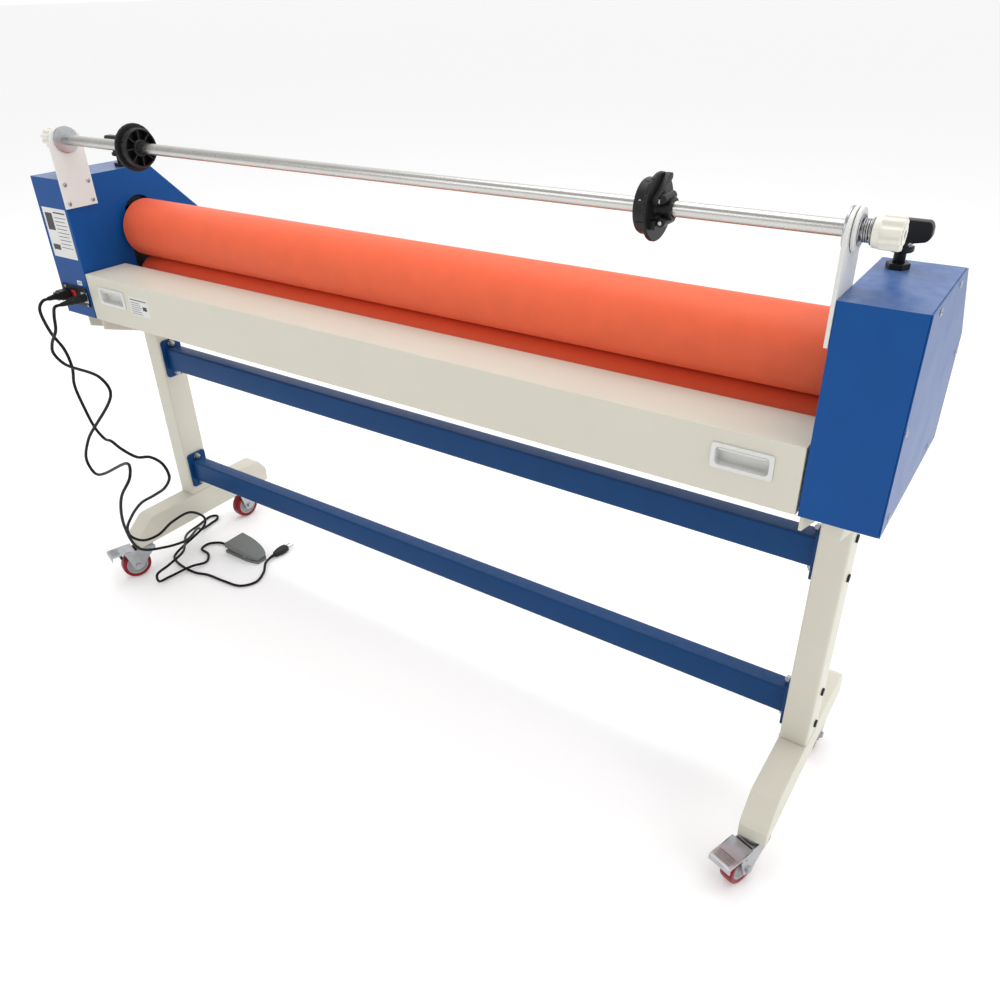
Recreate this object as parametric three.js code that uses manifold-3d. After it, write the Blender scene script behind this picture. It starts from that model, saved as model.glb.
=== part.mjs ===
// Cold roll laminator on a wheeled stand, in millimetres, +Z up.
// X runs along the rollers, the operator stands on the -Y side, and the origin is on the floor
// under the middle of the machine. side is -1 for the left end and +1 for the right end.
import * as THREE from 'three';
import * as BufferGeometryUtils from 'three/addons/utils/BufferGeometryUtils.js';
import Module from 'manifold-3d';

const wasm = await Module();
wasm.setup();

// ---------------------------------------------------------------- driving dimensions
const GAP = 0.3;                 // between neighbouring pieces
const FRONT_Y = -144;            // front face of the end boxes and of the feed deck

const BOX_INNER_X = 820;         // inner faces of the end boxes
const BOX_OUTER_X = 930;
const BOX_BASE_Z = 715;
const BOX_TOP_Z = 1023;
const BOX_DEPTH = 355;
const BOX_TOP_DEPTH = 225;       // the rear edge of the top is chamfered
const BOX_REAR_Z = 892;
const SHEET = 2;
const COVER = 1.7;
const LIP = 14;

const ROLLER_Y = FRONT_Y + 177.5;
const ROLLER_HALF = 805;
const TOP_ROLLER = { z: 890.5, radius: 64 };
const BOTTOM_ROLLER = { z: 774, radius: 51 };
const STUB_RADIUS = 12.5;
const ROLLER_LIFT = 12;
const BLOCK_HALF = 30;
const BLOCK_RISE = 36;           // from the roller's axis to the top of its bearing block
const SLOT_RADIUS = 39;          // the opening that the roller stubs pass through
const SLOT_TOP_Z = 961;

const COLUMN_X = [825, 875];
const COLUMN_Y = [FRONT_Y + 144, FRONT_Y + 211];
const COLUMN_TOP_Z = 711;
const FOOT_BASE_Z = 92;
const FOOT_TOP_Z = 164;
const TUBE_WALL = 3;
const STRETCHER_Y = [FRONT_Y + 161, FRONT_Y + 196];
const STRETCHER_HALF_HEIGHT = 29;
const UPPER_STRETCHER_Z = 560;
const LOWER_STRETCHER_Z = 235;
const FLANGE_HALF = [28, 49];
const BOLT_Y = FRONT_Y + 178;
const BOLT_RISE = 38.5;
const BOLT_RADIUS = 4;

const WHEEL_RADIUS = 37.5;
const WHEEL_HALF = 13;
const CASTER_TRAIL = 35;
const CASTER_X = 850;
const CASTER_FRONT_Y = FRONT_Y - 17;
const CASTER_REAR_Y = FRONT_Y + 359;
const FRONT_CASTER_TURN = 18;    // degrees that the front casters have swung towards -X

const DECK_HALF = 817;
const DECK_TOP_Z = 820;
const DECK_DEPTH = 106;
const PULL_X = 732;
const PULL_Z = 777.5;

const ROD_Y = FRONT_Y + 36;
const ROD_Z = 1100;
const ROD_RADIUS = 10.5;
const BRACKET_ARC_Z = 1089;
const BRACKET_HALF = 38;
const DISC_RADIUS = 27;

const KNOB_X = 850;
const SCREW_RADIUS = 6;

const GEAR_MODULE = 10 / 3;
const GEAR_TEETH = 24;
const PINION_TEETH = 12;
const PINION_Y = ROLLER_Y + 60.7;

const SOCKET_Z = 763;
const MAINS_SOCKET_X = -906;
const PEDAL_SOCKET_X = -838;
const CORD_RADIUS = 3.5;

// ---------------------------------------------------------------- materials
function paint(color, roughness, metalness) {
  return new THREE.MeshStandardMaterial({ color, roughness, metalness });
}
const bluePaint = paint(0x1f5c9e, 0.38, 0.1);
const creamPaint = paint(0xd9d5c6, 0.45, 0.05);
const orangeSilicone = paint(0xe8663f, 0.55, 0.0);
const polishedSteel = paint(0xc9cbcd, 0.2, 0.95);
const plainSteel = paint(0x9a9ca0, 0.4, 0.85);
const zincPlate = paint(0xb8bbbf, 0.3, 0.9);
const blackPlastic = paint(0x17171a, 0.5, 0.0);
const ivoryPlastic = paint(0xe9e4d6, 0.45, 0.0);
const whitePaint = paint(0xe6e4de, 0.4, 0.05);
const redTread = paint(0xa3122a, 0.4, 0.0);
const redPlastic = paint(0xd0142c, 0.35, 0.0);
const blackCord = paint(0x101012, 0.6, 0.0);
const greyPlastic = paint(0x7c7e7c, 0.6, 0.0);
const castAluminium = paint(0x8e9194, 0.5, 0.7);

// ---------------------------------------------------------------- solids
function signedVolume(position, index) {
  const [a, b, c] = [new THREE.Vector3(), new THREE.Vector3(), new THREE.Vector3()];
  let volume = 0;
  for (let i = 0; i < index.count; i += 3) {
    a.fromBufferAttribute(position, index.getX(i));
    b.fromBufferAttribute(position, index.getX(i + 1));
    c.fromBufferAttribute(position, index.getX(i + 2));
    volume += a.dot(b.cross(c));
  }
  return volume;
}

function solid(geometry) {
  geometry.deleteAttribute('normal');
  geometry.deleteAttribute('uv');
  const merged = BufferGeometryUtils.mergeVertices(geometry, 1e-4);
  const triVerts = Uint32Array.from(merged.index.array);
  if (signedVolume(merged.attributes.position, merged.index) < 0) triVerts.reverse();
  const vertProperties = Float32Array.from(merged.attributes.position.array);
  return new wasm.Manifold(new wasm.Mesh({ numProp: 3, vertProperties, triVerts }));
}

function join(...pieces) {
  return pieces.reduce((sum, piece) => sum.add(piece));
}

function cut(body, ...pieces) {
  return pieces.reduce((rest, piece) => rest.subtract(piece), body);
}

function span(a, b) {
  return a < b ? [a, b] : [b, a];
}

function block([xa, xb], [ya, yb], [za, zb]) {
  const [x0, x1] = span(xa, xb);
  const geometry = new THREE.BoxGeometry(x1 - x0, yb - ya, zb - za);
  geometry.translate((x0 + x1) / 2, (ya + yb) / 2, (za + zb) / 2);
  return solid(geometry);
}

// An outline of [y, z] points, extruded along X.
function plateX(outline, xa, xb) {
  const [x0, x1] = span(xa, xb);
  const shape = new THREE.Shape(outline.map(([y, z]) => new THREE.Vector2(y, z)));
  const geometry = new THREE.ExtrudeGeometry(shape, { depth: x1 - x0, bevelEnabled: false });
  const turn = new THREE.Matrix4().makeBasis(
    new THREE.Vector3(0, 1, 0), new THREE.Vector3(0, 0, 1), new THREE.Vector3(1, 0, 0));
  geometry.applyMatrix4(turn);
  geometry.translate(x0, 0, 0);
  return solid(geometry);
}

// An outline of [x, z] points, extruded along Y.
function plateY(outline, y0, y1) {
  const shape = new THREE.Shape(outline.map(([x, z]) => new THREE.Vector2(x, z)));
  const geometry = new THREE.ExtrudeGeometry(shape, { depth: y1 - y0, bevelEnabled: false });
  geometry.rotateX(Math.PI / 2);
  geometry.translate(0, y1, 0);
  return solid(geometry);
}

// Cylinders along each axis; sides of 4 or 6 give square and hexagon bars.
function cylinderX(radius, [xa, xb], [y, z], sides = 24) {
  const [x0, x1] = span(xa, xb);
  const geometry = new THREE.CylinderGeometry(radius, radius, x1 - x0, sides);
  geometry.rotateZ(Math.PI / 2);
  geometry.translate((x0 + x1) / 2, y, z);
  return solid(geometry);
}

function cylinderY(radius, [y0, y1], [x, z], sides = 24) {
  const geometry = new THREE.CylinderGeometry(radius, radius, y1 - y0, sides);
  geometry.translate(x, (y0 + y1) / 2, z);
  return solid(geometry);
}

function cylinderZ(radius, [z0, z1], [x, y], sides = 24) {
  const geometry = new THREE.CylinderGeometry(radius, radius, z1 - z0, sides);
  geometry.rotateX(Math.PI / 2);
  geometry.translate(x, y, (z0 + z1) / 2);
  return solid(geometry);
}

// A profile of [radius, x] points, turned about an axis along X through [y, z].
function turnedX(profile, [y, z], sides) {
  const points = profile.map(([radius, x]) => new THREE.Vector2(radius, x));
  const geometry = new THREE.LatheGeometry(points, sides);
  geometry.rotateZ(-Math.PI / 2);
  geometry.translate(0, y, z);
  return solid(geometry);
}

function tubeAlong(points, radius, steps) {
  const path = new THREE.CatmullRomCurve3(points.map((point) => new THREE.Vector3(...point)));
  const sides = 8;
  const section = new THREE.Shape();
  for (let i = 0; i < sides; i += 1) {
    const angle = (2 * Math.PI * i) / sides;
    const place = [radius * Math.cos(angle), radius * Math.sin(angle)];
    if (i === 0) section.moveTo(...place);
    else section.lineTo(...place);
  }
  return solid(new THREE.ExtrudeGeometry(section, { steps, extrudePath: path, bevelEnabled: false }));
}

// Moves each edge of a convex outline inwards by the same distance.
function inset(outline, distance) {
  const count = outline.length;
  const area = outline.reduce((sum, [u, v], i) => {
    const [nu, nv] = outline[(i + 1) % count];
    return sum + u * nv - nu * v;
  }, 0);
  const turn = Math.sign(area);
  const edges = outline.map(([u, v], i) => {
    const [nu, nv] = outline[(i + 1) % count];
    const length = Math.hypot(nu - u, nv - v);
    const normal = [(-(nv - v) / length) * turn, ((nu - u) / length) * turn];
    return { normal, offset: normal[0] * u + normal[1] * v + distance };
  });
  return edges.map((edge, i) => {
    const before = edges[(i + count - 1) % count];
    const [a, b] = before.normal;
    const [c, d] = edge.normal;
    const det = a * d - b * c;
    return [(before.offset * d - b * edge.offset) / det, (a * edge.offset - before.offset * c) / det];
  });
}

// Turns an outline about its own origin, then moves it to a place.
function placed(outline, degrees, [u0, v0]) {
  const angle = THREE.MathUtils.degToRad(degrees);
  const [c, s] = [Math.cos(angle), Math.sin(angle)];
  return outline.map(([u, v]) => [u0 + u * c - v * s, v0 + u * s + v * c]);
}

function roundedRectangle([u, v], [halfU, halfV], radius, steps = 3) {
  const outline = [];
  const corners = [[1, 1], [-1, 1], [-1, -1], [1, -1]];
  corners.forEach(([su, sv], corner) => {
    for (let i = 0; i <= steps; i += 1) {
      const angle = (Math.PI / 2) * (corner + i / steps);
      outline.push([
        u + su * (halfU - radius) + radius * Math.cos(angle),
        v + sv * (halfV - radius) + radius * Math.sin(angle),
      ]);
    }
  });
  return outline;
}

// ---------------------------------------------------------------- the assembly
const laminator = new THREE.Group();

function addPart(name, body, material, parent = laminator) {
  const { vertProperties, triVerts } = body.getMesh();
  const geometry = new THREE.BufferGeometry();
  geometry.setAttribute('position', new THREE.BufferAttribute(Float32Array.from(vertProperties), 3));
  geometry.setIndex(new THREE.BufferAttribute(Uint32Array.from(triVerts), 1));
  geometry.computeVertexNormals();
  const mesh = new THREE.Mesh(geometry, material);
  mesh.name = name;
  parent.add(mesh);
  return mesh;
}

const SIDES = [[-1, 'left'], [1, 'right']];

// ---------------------------------------------------------------- end boxes
const BOX_OUTLINE = [
  [FRONT_Y, BOX_BASE_Z],
  [FRONT_Y + BOX_DEPTH, BOX_BASE_Z],
  [FRONT_Y + BOX_DEPTH, BOX_REAR_Z],
  [FRONT_Y + BOX_TOP_DEPTH, BOX_TOP_Z],
  [FRONT_Y, BOX_TOP_Z],
];
const SHELL_END_X = BOX_OUTER_X - COVER - GAP;

function rollerOpening(side) {
  const reach = [side * (BOX_INNER_X - 1), side * (BOX_INNER_X + SHEET + 1)];
  const ends = [BOTTOM_ROLLER.z, SLOT_TOP_Z - SLOT_RADIUS];
  return join(
    block(reach, [ROLLER_Y - SLOT_RADIUS, ROLLER_Y + SLOT_RADIUS], ends),
    ...ends.map((z) => cylinderX(SLOT_RADIUS, reach, [ROLLER_Y, z], 24)),
  );
}

function housing(side) {
  const hollow = plateX(
    inset(BOX_OUTLINE, SHEET), side * (BOX_INNER_X + SHEET), side * (SHELL_END_X - SHEET));
  const mouth = plateX(inset(BOX_OUTLINE, LIP), side * (SHELL_END_X - SHEET - 1), side * (SHELL_END_X + 1));
  const screwHole = cylinderZ(10.2, [BOX_TOP_Z - SHEET - 1, BOX_TOP_Z + 1], [side * KNOB_X, ROLLER_Y], 16);
  const shell = cut(
    plateX(BOX_OUTLINE, side * BOX_INNER_X, side * SHELL_END_X),
    hollow, mouth, rollerOpening(side), screwHole);
  if (side > 0) return shell;
  const panelHole = block([-921, -829], [FRONT_Y - 1, FRONT_Y + SHEET + 1], [SOCKET_Z - 18, SOCKET_Z + 18]);
  return cut(shell, panelHole);
}

const COVER_SCREWS = [[56, 1011], [185, 1011], [12, 867], [337, 867], [40, 728], [287, 728]];

function cover(side) {
  const start = BOX_OUTER_X - COVER;
  const screws = COVER_SCREWS.map(([y, z]) =>
    cylinderX(4.5, [side * (start + 1), side * (BOX_OUTER_X + 2)], [FRONT_Y + y, z], 8));
  return join(plateX(BOX_OUTLINE, side * start, side * BOX_OUTER_X), ...screws);
}

// The steel plate inside each box carries both roller bearings; the upper one slides in its slot.
const PLATE_X = [832, 840];
const PLATE_Y = [FRONT_Y + 60, FRONT_Y + 290];

function bearingPlate(side) {
  const at = (a, b) => [side * a, side * b];
  const [face, back] = PLATE_X;
  const base = BOX_BASE_Z + SHEET + GAP;
  const outline = [
    [PLATE_Y[0], base], [PLATE_Y[1], base], [PLATE_Y[1], 860], [PLATE_Y[1] - 66, 960], [PLATE_Y[0], 960],
  ];
  const lowerAxis = [ROLLER_Y, BOTTOM_ROLLER.z];
  const slot = block(
    at(face - 1, back + 1),
    [ROLLER_Y - BLOCK_HALF - GAP, ROLLER_Y + BLOCK_HALF + GAP],
    [TOP_ROLLER.z - BLOCK_HALF - GAP, TOP_ROLLER.z + BLOCK_RISE + ROLLER_LIFT + 1],
  );
  const body = join(
    plateX(outline, ...at(face, back)),
    block(at(face, back + 9), PLATE_Y, [base, base + 5]),
    cylinderX(24, at(face - 4, face + 1), lowerAxis, 20),
  );
  return cut(body, cylinderX(STUB_RADIUS + 0.5, at(face - 5, back + 1), lowerAxis), slot);
}

function rollerBlock(side) {
  const reach = [side * (PLATE_X[0] - 4), side * (PLATE_X[1] + 18)];
  const body = block(
    reach, [ROLLER_Y - BLOCK_HALF, ROLLER_Y + BLOCK_HALF],
    [TOP_ROLLER.z - BLOCK_HALF, TOP_ROLLER.z + BLOCK_RISE]);
  const bore = cylinderX(STUB_RADIUS + 0.5, [side * 820, side * 880], [ROLLER_Y, TOP_ROLLER.z]);
  const thread = cylinderZ(
    SCREW_RADIUS + 0.6, [TOP_ROLLER.z + 16.5, TOP_ROLLER.z + BLOCK_RISE + 1],
    [side * KNOB_X, ROLLER_Y], 16);
  return cut(body, bore, thread);
}

for (const [side, end] of SIDES) {
  addPart(`housing_${end}`, housing(side), bluePaint);
  addPart(`side_cover_${end}`, cover(side), bluePaint);
  addPart(`bearing_plate_${end}`, bearingPlate(side), plainSteel);
  addPart(`roller_block_${end}`, rollerBlock(side), castAluminium);
}

// ---------------------------------------------------------------- rollers
// The covered drum, bored for its axle.
function rollerSleeve({ z, radius }) {
  const bore = STUB_RADIUS + 0.1;
  const half = ROLLER_HALF;
  const profile = [[bore, -half], [radius, -half], [radius, half], [bore, half], [bore, -half]];
  return turnedX(profile, [ROLLER_Y, z], 40);
}

function rollerShaft({ z }, leftReach, rightReach) {
  return cylinderX(STUB_RADIUS, [-leftReach, rightReach], [ROLLER_Y, z], 28);
}

addPart('top_roller_sleeve', rollerSleeve(TOP_ROLLER), orangeSilicone);
addPart('top_roller_shaft', rollerShaft(TOP_ROLLER, 862, 862), plainSteel);
addPart('bottom_roller_sleeve', rollerSleeve(BOTTOM_ROLLER), orangeSilicone);
addPart('bottom_roller_shaft', rollerShaft(BOTTOM_ROLLER, 882, 862), plainSteel);

// ---------------------------------------------------------------- drive
function gearOutline(teeth, [y, z], turn) {
  const pitchRadius = (GEAR_MODULE * teeth) / 2;
  const rootRadius = pitchRadius - 1.2 * GEAR_MODULE;
  const tipRadius = pitchRadius + 0.85 * GEAR_MODULE;
  const pitchAngle = (2 * Math.PI) / teeth;
  const outline = [];
  for (let i = 0; i < teeth; i += 1) {
    const middle = turn + i * pitchAngle;
    const corners = [[-0.27, rootRadius], [-0.11, tipRadius], [0.11, tipRadius], [0.27, rootRadius]];
    for (const [share, radius] of corners) {
      const angle = middle + share * pitchAngle;
      outline.push([y + radius * Math.cos(angle), z + radius * Math.sin(angle)]);
    }
  }
  return outline;
}

function driveGear() {
  const axis = [ROLLER_Y, BOTTOM_ROLLER.z];
  return cut(
    join(plateX(gearOutline(GEAR_TEETH, axis, 0), -868, -858), cylinderX(20, [-859, -849], axis, 16)),
    cylinderX(STUB_RADIUS + 0.5, [-869, -848], axis, 20),
  );
}

// The pinion is turned by half a tooth so that its gap meets the gear's tooth.
function motorPinion() {
  const axis = [PINION_Y, BOTTOM_ROLLER.z];
  const turn = Math.PI + Math.PI / PINION_TEETH;
  return cut(
    plateX(gearOutline(PINION_TEETH, axis, turn), -870, -856), cylinderX(6.6, [-871, -855], axis, 10));
}

// Gearbox with an upright motor behind it, on four posts from the bearing plate.
function driveMotor() {
  const face = -873;
  const z = BOTTOM_ROLLER.z;
  const posts = [[-13, -30], [-13, 30], [44, -30], [44, 30]].map(([y, rise]) =>
    cylinderX(4, [face - 1, -PLATE_X[1] - GAP], [PINION_Y + y, z + rise], 6));
  return join(
    block([-915, face], [PINION_Y - 30, PINION_Y + 52], [z - 42, z + 41]),
    cylinderX(SCREW_RADIUS, [face - 1, -854], [PINION_Y, z], 10),
    cylinderZ(29, [z + 40, z + 136], [-894, PINION_Y + 14], 16),
    ...posts,
  );
}

addPart('drive_gear', driveGear(), plainSteel);
addPart('motor_pinion', motorPinion(), plainSteel);
addPart('drive_motor', driveMotor(), castAluminium);

// ---------------------------------------------------------------- pressure knobs
function pressureBush(side) {
  const axis = [side * KNOB_X, ROLLER_Y];
  return cut(
    join(
      cylinderZ(16, [BOX_TOP_Z + GAP, BOX_TOP_Z + 8], axis, 6),
      cylinderZ(9.5, [1011, BOX_TOP_Z + 1], axis, 14)),
    cylinderZ(SCREW_RADIUS + 0.7, [1010, BOX_TOP_Z + 9], axis, 12),
  );
}

function pressureKnob(side) {
  const x = side * KNOB_X;
  const half = [[9, 1052], [12, 1061], [32, 1063], [34.5, 1068], [34, 1085], [30, 1088]];
  const outline = [
    ...half.map(([u, z]) => [x + u, z]),
    ...half.toReversed().map(([u, z]) => [x - u, z]),
  ];
  return join(
    cylinderZ(SCREW_RADIUS, [TOP_ROLLER.z + 29.5, 1040], [x, ROLLER_Y], 12),
    cylinderZ(7.8, [BOX_TOP_Z + 8 + GAP, 1047], [x, ROLLER_Y], 12),
    cylinderZ(16, [1046, 1052.5], [x, ROLLER_Y], 16),
    cylinderZ(12, [1052, 1062], [x, ROLLER_Y], 12),
    plateY(outline, ROLLER_Y - 8.5, ROLLER_Y + 8.5),
  );
}

for (const [side, end] of SIDES) {
  addPart(`pressure_bush_${end}`, pressureBush(side), blackPlastic);
  addPart(`pressure_knob_${end}`, pressureKnob(side), blackPlastic);
}

// ---------------------------------------------------------------- feed deck
function feedDeck() {
  const sheet = 2;
  const [front, rear] = [FRONT_Y, FRONT_Y + DECK_DEPTH];
  const profile = [
    [front, BOX_BASE_Z], [front + 22, BOX_BASE_Z], [front + 22, BOX_BASE_Z + sheet],
    [front + sheet, BOX_BASE_Z + sheet], [front + sheet, DECK_TOP_Z - sheet],
    [rear - sheet, DECK_TOP_Z - sheet], [rear - sheet, DECK_TOP_Z - 20], [rear, DECK_TOP_Z - 20],
    [rear, DECK_TOP_Z], [front, DECK_TOP_Z],
  ];
  const holes = [-1, 1].map((side) =>
    block(
      [side * PULL_X - 42, side * PULL_X + 42], [front - 1, front + 3], [PULL_Z - 16.5, PULL_Z + 16.5]));
  return cut(plateX(profile, -DECK_HALF, DECK_HALF), ...holes);
}

function deckPull(side) {
  const x = side * PULL_X;
  return cut(
    join(
      plateY(roundedRectangle([x, PULL_Z], [46, 20], 4), FRONT_Y - 2.3, FRONT_Y - GAP),
      block([x - 41.5, x + 41.5], [FRONT_Y - 1, FRONT_Y + 16], [PULL_Z - 16, PULL_Z + 16]),
    ),
    plateY(roundedRectangle([x, PULL_Z], [39.5, 14], 5), FRONT_Y - 3, FRONT_Y + 14),
  );
}

addPart('feed_deck', feedDeck(), creamPaint);
for (const [side, end] of SIDES) addPart(`deck_pull_${end}`, deckPull(side), whitePaint);

// ---------------------------------------------------------------- stand
// Each column carries a saddle: a top plate under the box and a tapered flange on either side.
function column(side) {
  const [inner, outer] = COLUMN_X.map((x) => side * x);
  const wall = side * TUBE_WALL;
  const base = FOOT_TOP_Z + GAP;
  const tube = cut(
    block([inner, outer], COLUMN_Y, [base, COLUMN_TOP_Z + 1]),
    block(
      [inner + wall, outer - wall], [COLUMN_Y[0] + TUBE_WALL, COLUMN_Y[1] - TUBE_WALL],
      [base - 1, COLUMN_TOP_Z - 2]),
  );
  const reach = [FRONT_Y + 15, FRONT_Y + 340];
  const flange = [
    [reach[0], COLUMN_TOP_Z + 1], [reach[0], 684], [COLUMN_Y[0], 640],
    [COLUMN_Y[1], 640], [reach[1], 684], [reach[1], COLUMN_TOP_Z + 1],
  ];
  const boltHeights = [UPPER_STRETCHER_Z, LOWER_STRETCHER_Z].flatMap((z) => [z - BOLT_RISE, z + BOLT_RISE]);
  const bolts = boltHeights.map((z) =>
    cylinderX(BOLT_RADIUS + 0.7, [side * 824, side * 876], [BOLT_Y, z], 8));
  return cut(join(
    tube,
    block([side * 820.5, side * 879.5], reach, [COLUMN_TOP_Z, BOX_BASE_Z - GAP]),
    plateX(flange, side * 820.5, side * 825.5),
    plateX(flange, side * 874.5, side * 879.5),
  ), ...bolts);
}

function foot(side) {
  const outline = [
    [-42, FOOT_BASE_Z], [404, FOOT_BASE_Z], [404, 126], [401, 134], [382, 160], [371, FOOT_TOP_Z],
    [12, FOOT_TOP_Z], [0, 160], [-36, 130], [-42, 120],
  ].map(([y, z]) => [FRONT_Y + y, z]);
  const bores = [CASTER_FRONT_Y, CASTER_REAR_Y].map((y) =>
    cylinderZ(6.2, [FOOT_BASE_Z - 1, FOOT_BASE_Z + TUBE_WALL + 1], [side * CASTER_X, y], 12));
  return cut(
    plateX(outline, side * COLUMN_X[0], side * COLUMN_X[1]),
    plateX(inset(outline, TUBE_WALL), side * (COLUMN_X[0] + TUBE_WALL), side * (COLUMN_X[1] - TUBE_WALL)),
    ...bores,
  );
}

// A stretcher is a tube with a flange on each end, bolted through both walls of the columns.
function stretcher(z) {
  const tubeEnd = COLUMN_X[0] - 4.5;
  const flangeEnd = COLUMN_X[0] - GAP;
  const height = [z - STRETCHER_HALF_HEIGHT, z + STRETCHER_HALF_HEIGHT];
  const pieces = [block([-tubeEnd, tubeEnd], STRETCHER_Y, height)];
  for (const [side] of SIDES) {
    pieces.push(plateX(
      roundedRectangle([BOLT_Y, z], FLANGE_HALF, 7, 2), side * (tubeEnd - 0.5), side * flangeEnd));
    for (const rise of [-BOLT_RISE, BOLT_RISE]) {
      const axis = [BOLT_Y, z + rise];
      pieces.push(cylinderX(7.5, [side * (tubeEnd - 7), side * tubeEnd], axis, 6));
      pieces.push(cylinderX(BOLT_RADIUS, [side * (tubeEnd - 10), side * (COLUMN_X[1] + 2)], axis, 8));
      pieces.push(plateX(
        roundedRectangle(axis, [6.5, 6.5], 1.5, 1),
        side * (COLUMN_X[1] + GAP), side * (COLUMN_X[1] + 5.5)));
    }
  }
  const hollow = block(
    [-flangeEnd - 1, flangeEnd + 1],
    [STRETCHER_Y[0] + 2.5, STRETCHER_Y[1] - 2.5],
    [height[0] + 2.5, height[1] - 2.5],
  );
  return cut(join(...pieces), hollow);
}

for (const [side, end] of SIDES) {
  addPart(`column_${end}`, column(side), creamPaint);
  addPart(`foot_${end}`, foot(side), creamPaint);
}
addPart('stretcher_upper', stretcher(UPPER_STRETCHER_Z), bluePaint);
addPart('stretcher_lower', stretcher(LOWER_STRETCHER_Z), bluePaint);

// ---------------------------------------------------------------- casters
// A caster is drawn with its swivel axis on the origin and its wheel trailing towards -Y.
const AXLE = [-CASTER_TRAIL, WHEEL_RADIUS];
const PEDAL_PIN = [-50, 77];

function casterFork() {
  const leg = [[20, 83], [-52, 83], [-59, 76], [-46, 27], [-26, 25], [-4, 52], [20, 72]];
  const pieces = [
    block([-19, 19], [-24, 20], [79, 83]),
    cylinderZ(20, [82, FOOT_BASE_Z - GAP], [0, 0], 16),
    cylinderZ(5.5, [90, 112], [0, 0], 8),
    cylinderX(4, [-21, 21], AXLE, 8),
  ];
  for (const side of [-1, 1]) {
    pieces.push(plateX(leg, side * 16, side * 19));
    pieces.push(cylinderX(7.5, [side * 18.5, side * 24], AXLE, 6));
  }
  return cut(join(...pieces), cylinderX(3, [-20, 20], PEDAL_PIN, 8));
}

function casterWheel() {
  return turnedX([
    [4.5, -14.5], [11, -14.5], [11, -9], [27, -9], [28, -WHEEL_HALF], [34, -WHEEL_HALF], [WHEEL_RADIUS, -9],
    [WHEEL_RADIUS, 9], [34, WHEEL_HALF], [28, WHEEL_HALF], [27, 9], [11, 9], [11, 14.5],
    [4.5, 14.5], [4.5, -14.5],
  ], AXLE, 20);
}

function brakePedal() {
  const cheek = [[-44, 88], [-60, 88], [-60, 74], [-52, 71], [-44, 74]];
  return join(
    block([-22.5, 22.5], [-96, -34], [85, 88]),
    block([-22.5, 22.5], [-96, -93], [75, 86]),
    block([-9, 9], [-72, -66], [66, 86]),
    plateX(cheek, -22.5, -19.8),
    plateX(cheek, 19.8, 22.5),
    cylinderX(2.5, [-21, 21], PEDAL_PIN, 8),
  );
}

for (const [side, end] of SIDES) {
  for (const [y, row, turn] of [[CASTER_FRONT_Y, 'front', FRONT_CASTER_TURN], [CASTER_REAR_Y, 'rear', 0]]) {
    const caster = new THREE.Group();
    caster.position.set(side * CASTER_X, y, 0);
    caster.rotation.z = -THREE.MathUtils.degToRad(turn);
    addPart(`caster_fork_${row}_${end}`, casterFork(), zincPlate, caster);
    addPart(`caster_wheel_${row}_${end}`, casterWheel(), redTread, caster);
    if (row === 'front') addPart(`brake_pedal_${end}`, brakePedal(), zincPlate, caster);
    laminator.add(caster);
  }
}

// ---------------------------------------------------------------- unwind shaft
function unwindBracket(side) {
  const bottom = 962;
  const outline = [[ROD_Y - BRACKET_HALF, bottom], [ROD_Y + BRACKET_HALF, bottom]];
  const steps = 12;
  for (let i = 0; i <= steps; i += 1) {
    const angle = (Math.PI * i) / steps;
    outline.push([ROD_Y + BRACKET_HALF * Math.cos(angle), BRACKET_ARC_Z + BRACKET_HALF * Math.sin(angle)]);
  }
  const screws = [[-28, 972.5], [28, 972.5], [-28, 1012.5], [28, 1012.5]].map(([y, z]) =>
    cylinderX(5, [side * 812.3, side * 815], [ROD_Y + y, z], 8));
  return cut(
    join(plateX(outline, side * 814.5, side * (BOX_INNER_X - GAP)), ...screws),
    cylinderX(ROD_RADIUS + 0.7, [side * 811, side * 821], [ROD_Y, ROD_Z], 16),
  );
}

function unwindRod() {
  const half = [[ROD_RADIUS, 846], [5, 846], [5, 868], [0, 868]];
  const profile = [...half.toReversed().map(([radius, x]) => [radius, -x]), ...half];
  return turnedX(profile, [ROD_Y, ROD_Z], 20);
}

// A loose collar on the rod, inside the bracket.
function rodCollar(side) {
  return cut(
    cylinderX(DISC_RADIUS, [side * 809.5, side * 813.7], [ROD_Y, ROD_Z]),
    cylinderX(ROD_RADIUS + 0.1, [side * 808, side * 815], [ROD_Y, ROD_Z], 20),
  );
}

function frictionDisc(side) {
  return cut(
    cylinderX(DISC_RADIUS, [side * 820.8, side * 825.5], [ROD_Y, ROD_Z]),
    cylinderX(ROD_RADIUS + 0.7, [side * 820, side * 827], [ROD_Y, ROD_Z], 16),
  );
}

// A fluted hand nut; its socket clears the shouldered end of the rod.
function tensionKnob(side) {
  const axis = [ROD_Y, ROD_Z];
  const flutes = Array.from({ length: 10 }, (_, i) => {
    const angle = (2 * Math.PI * i) / 10;
    const place = [ROD_Y + 22.3 * Math.cos(angle), ROD_Z + 22.3 * Math.sin(angle)];
    return cylinderX(3.6, [side * 851, side * 876], place, 6);
  });
  return cut(
    cylinderX(20.5, [side * 841, side * 875], axis, 20),
    cylinderX(ROD_RADIUS + 0.7, [side * 840, side * 848], axis, 16),
    cylinderX(5.6, [side * 847, side * 870], axis, 12),
    ...flutes,
  );
}

// A core chuck: a ribbed spigot that enters the roll's core, a stop flange and a clamping hub.
const LEVER_PIN = [ROD_Y - 24, ROD_Z + 12];

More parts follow.
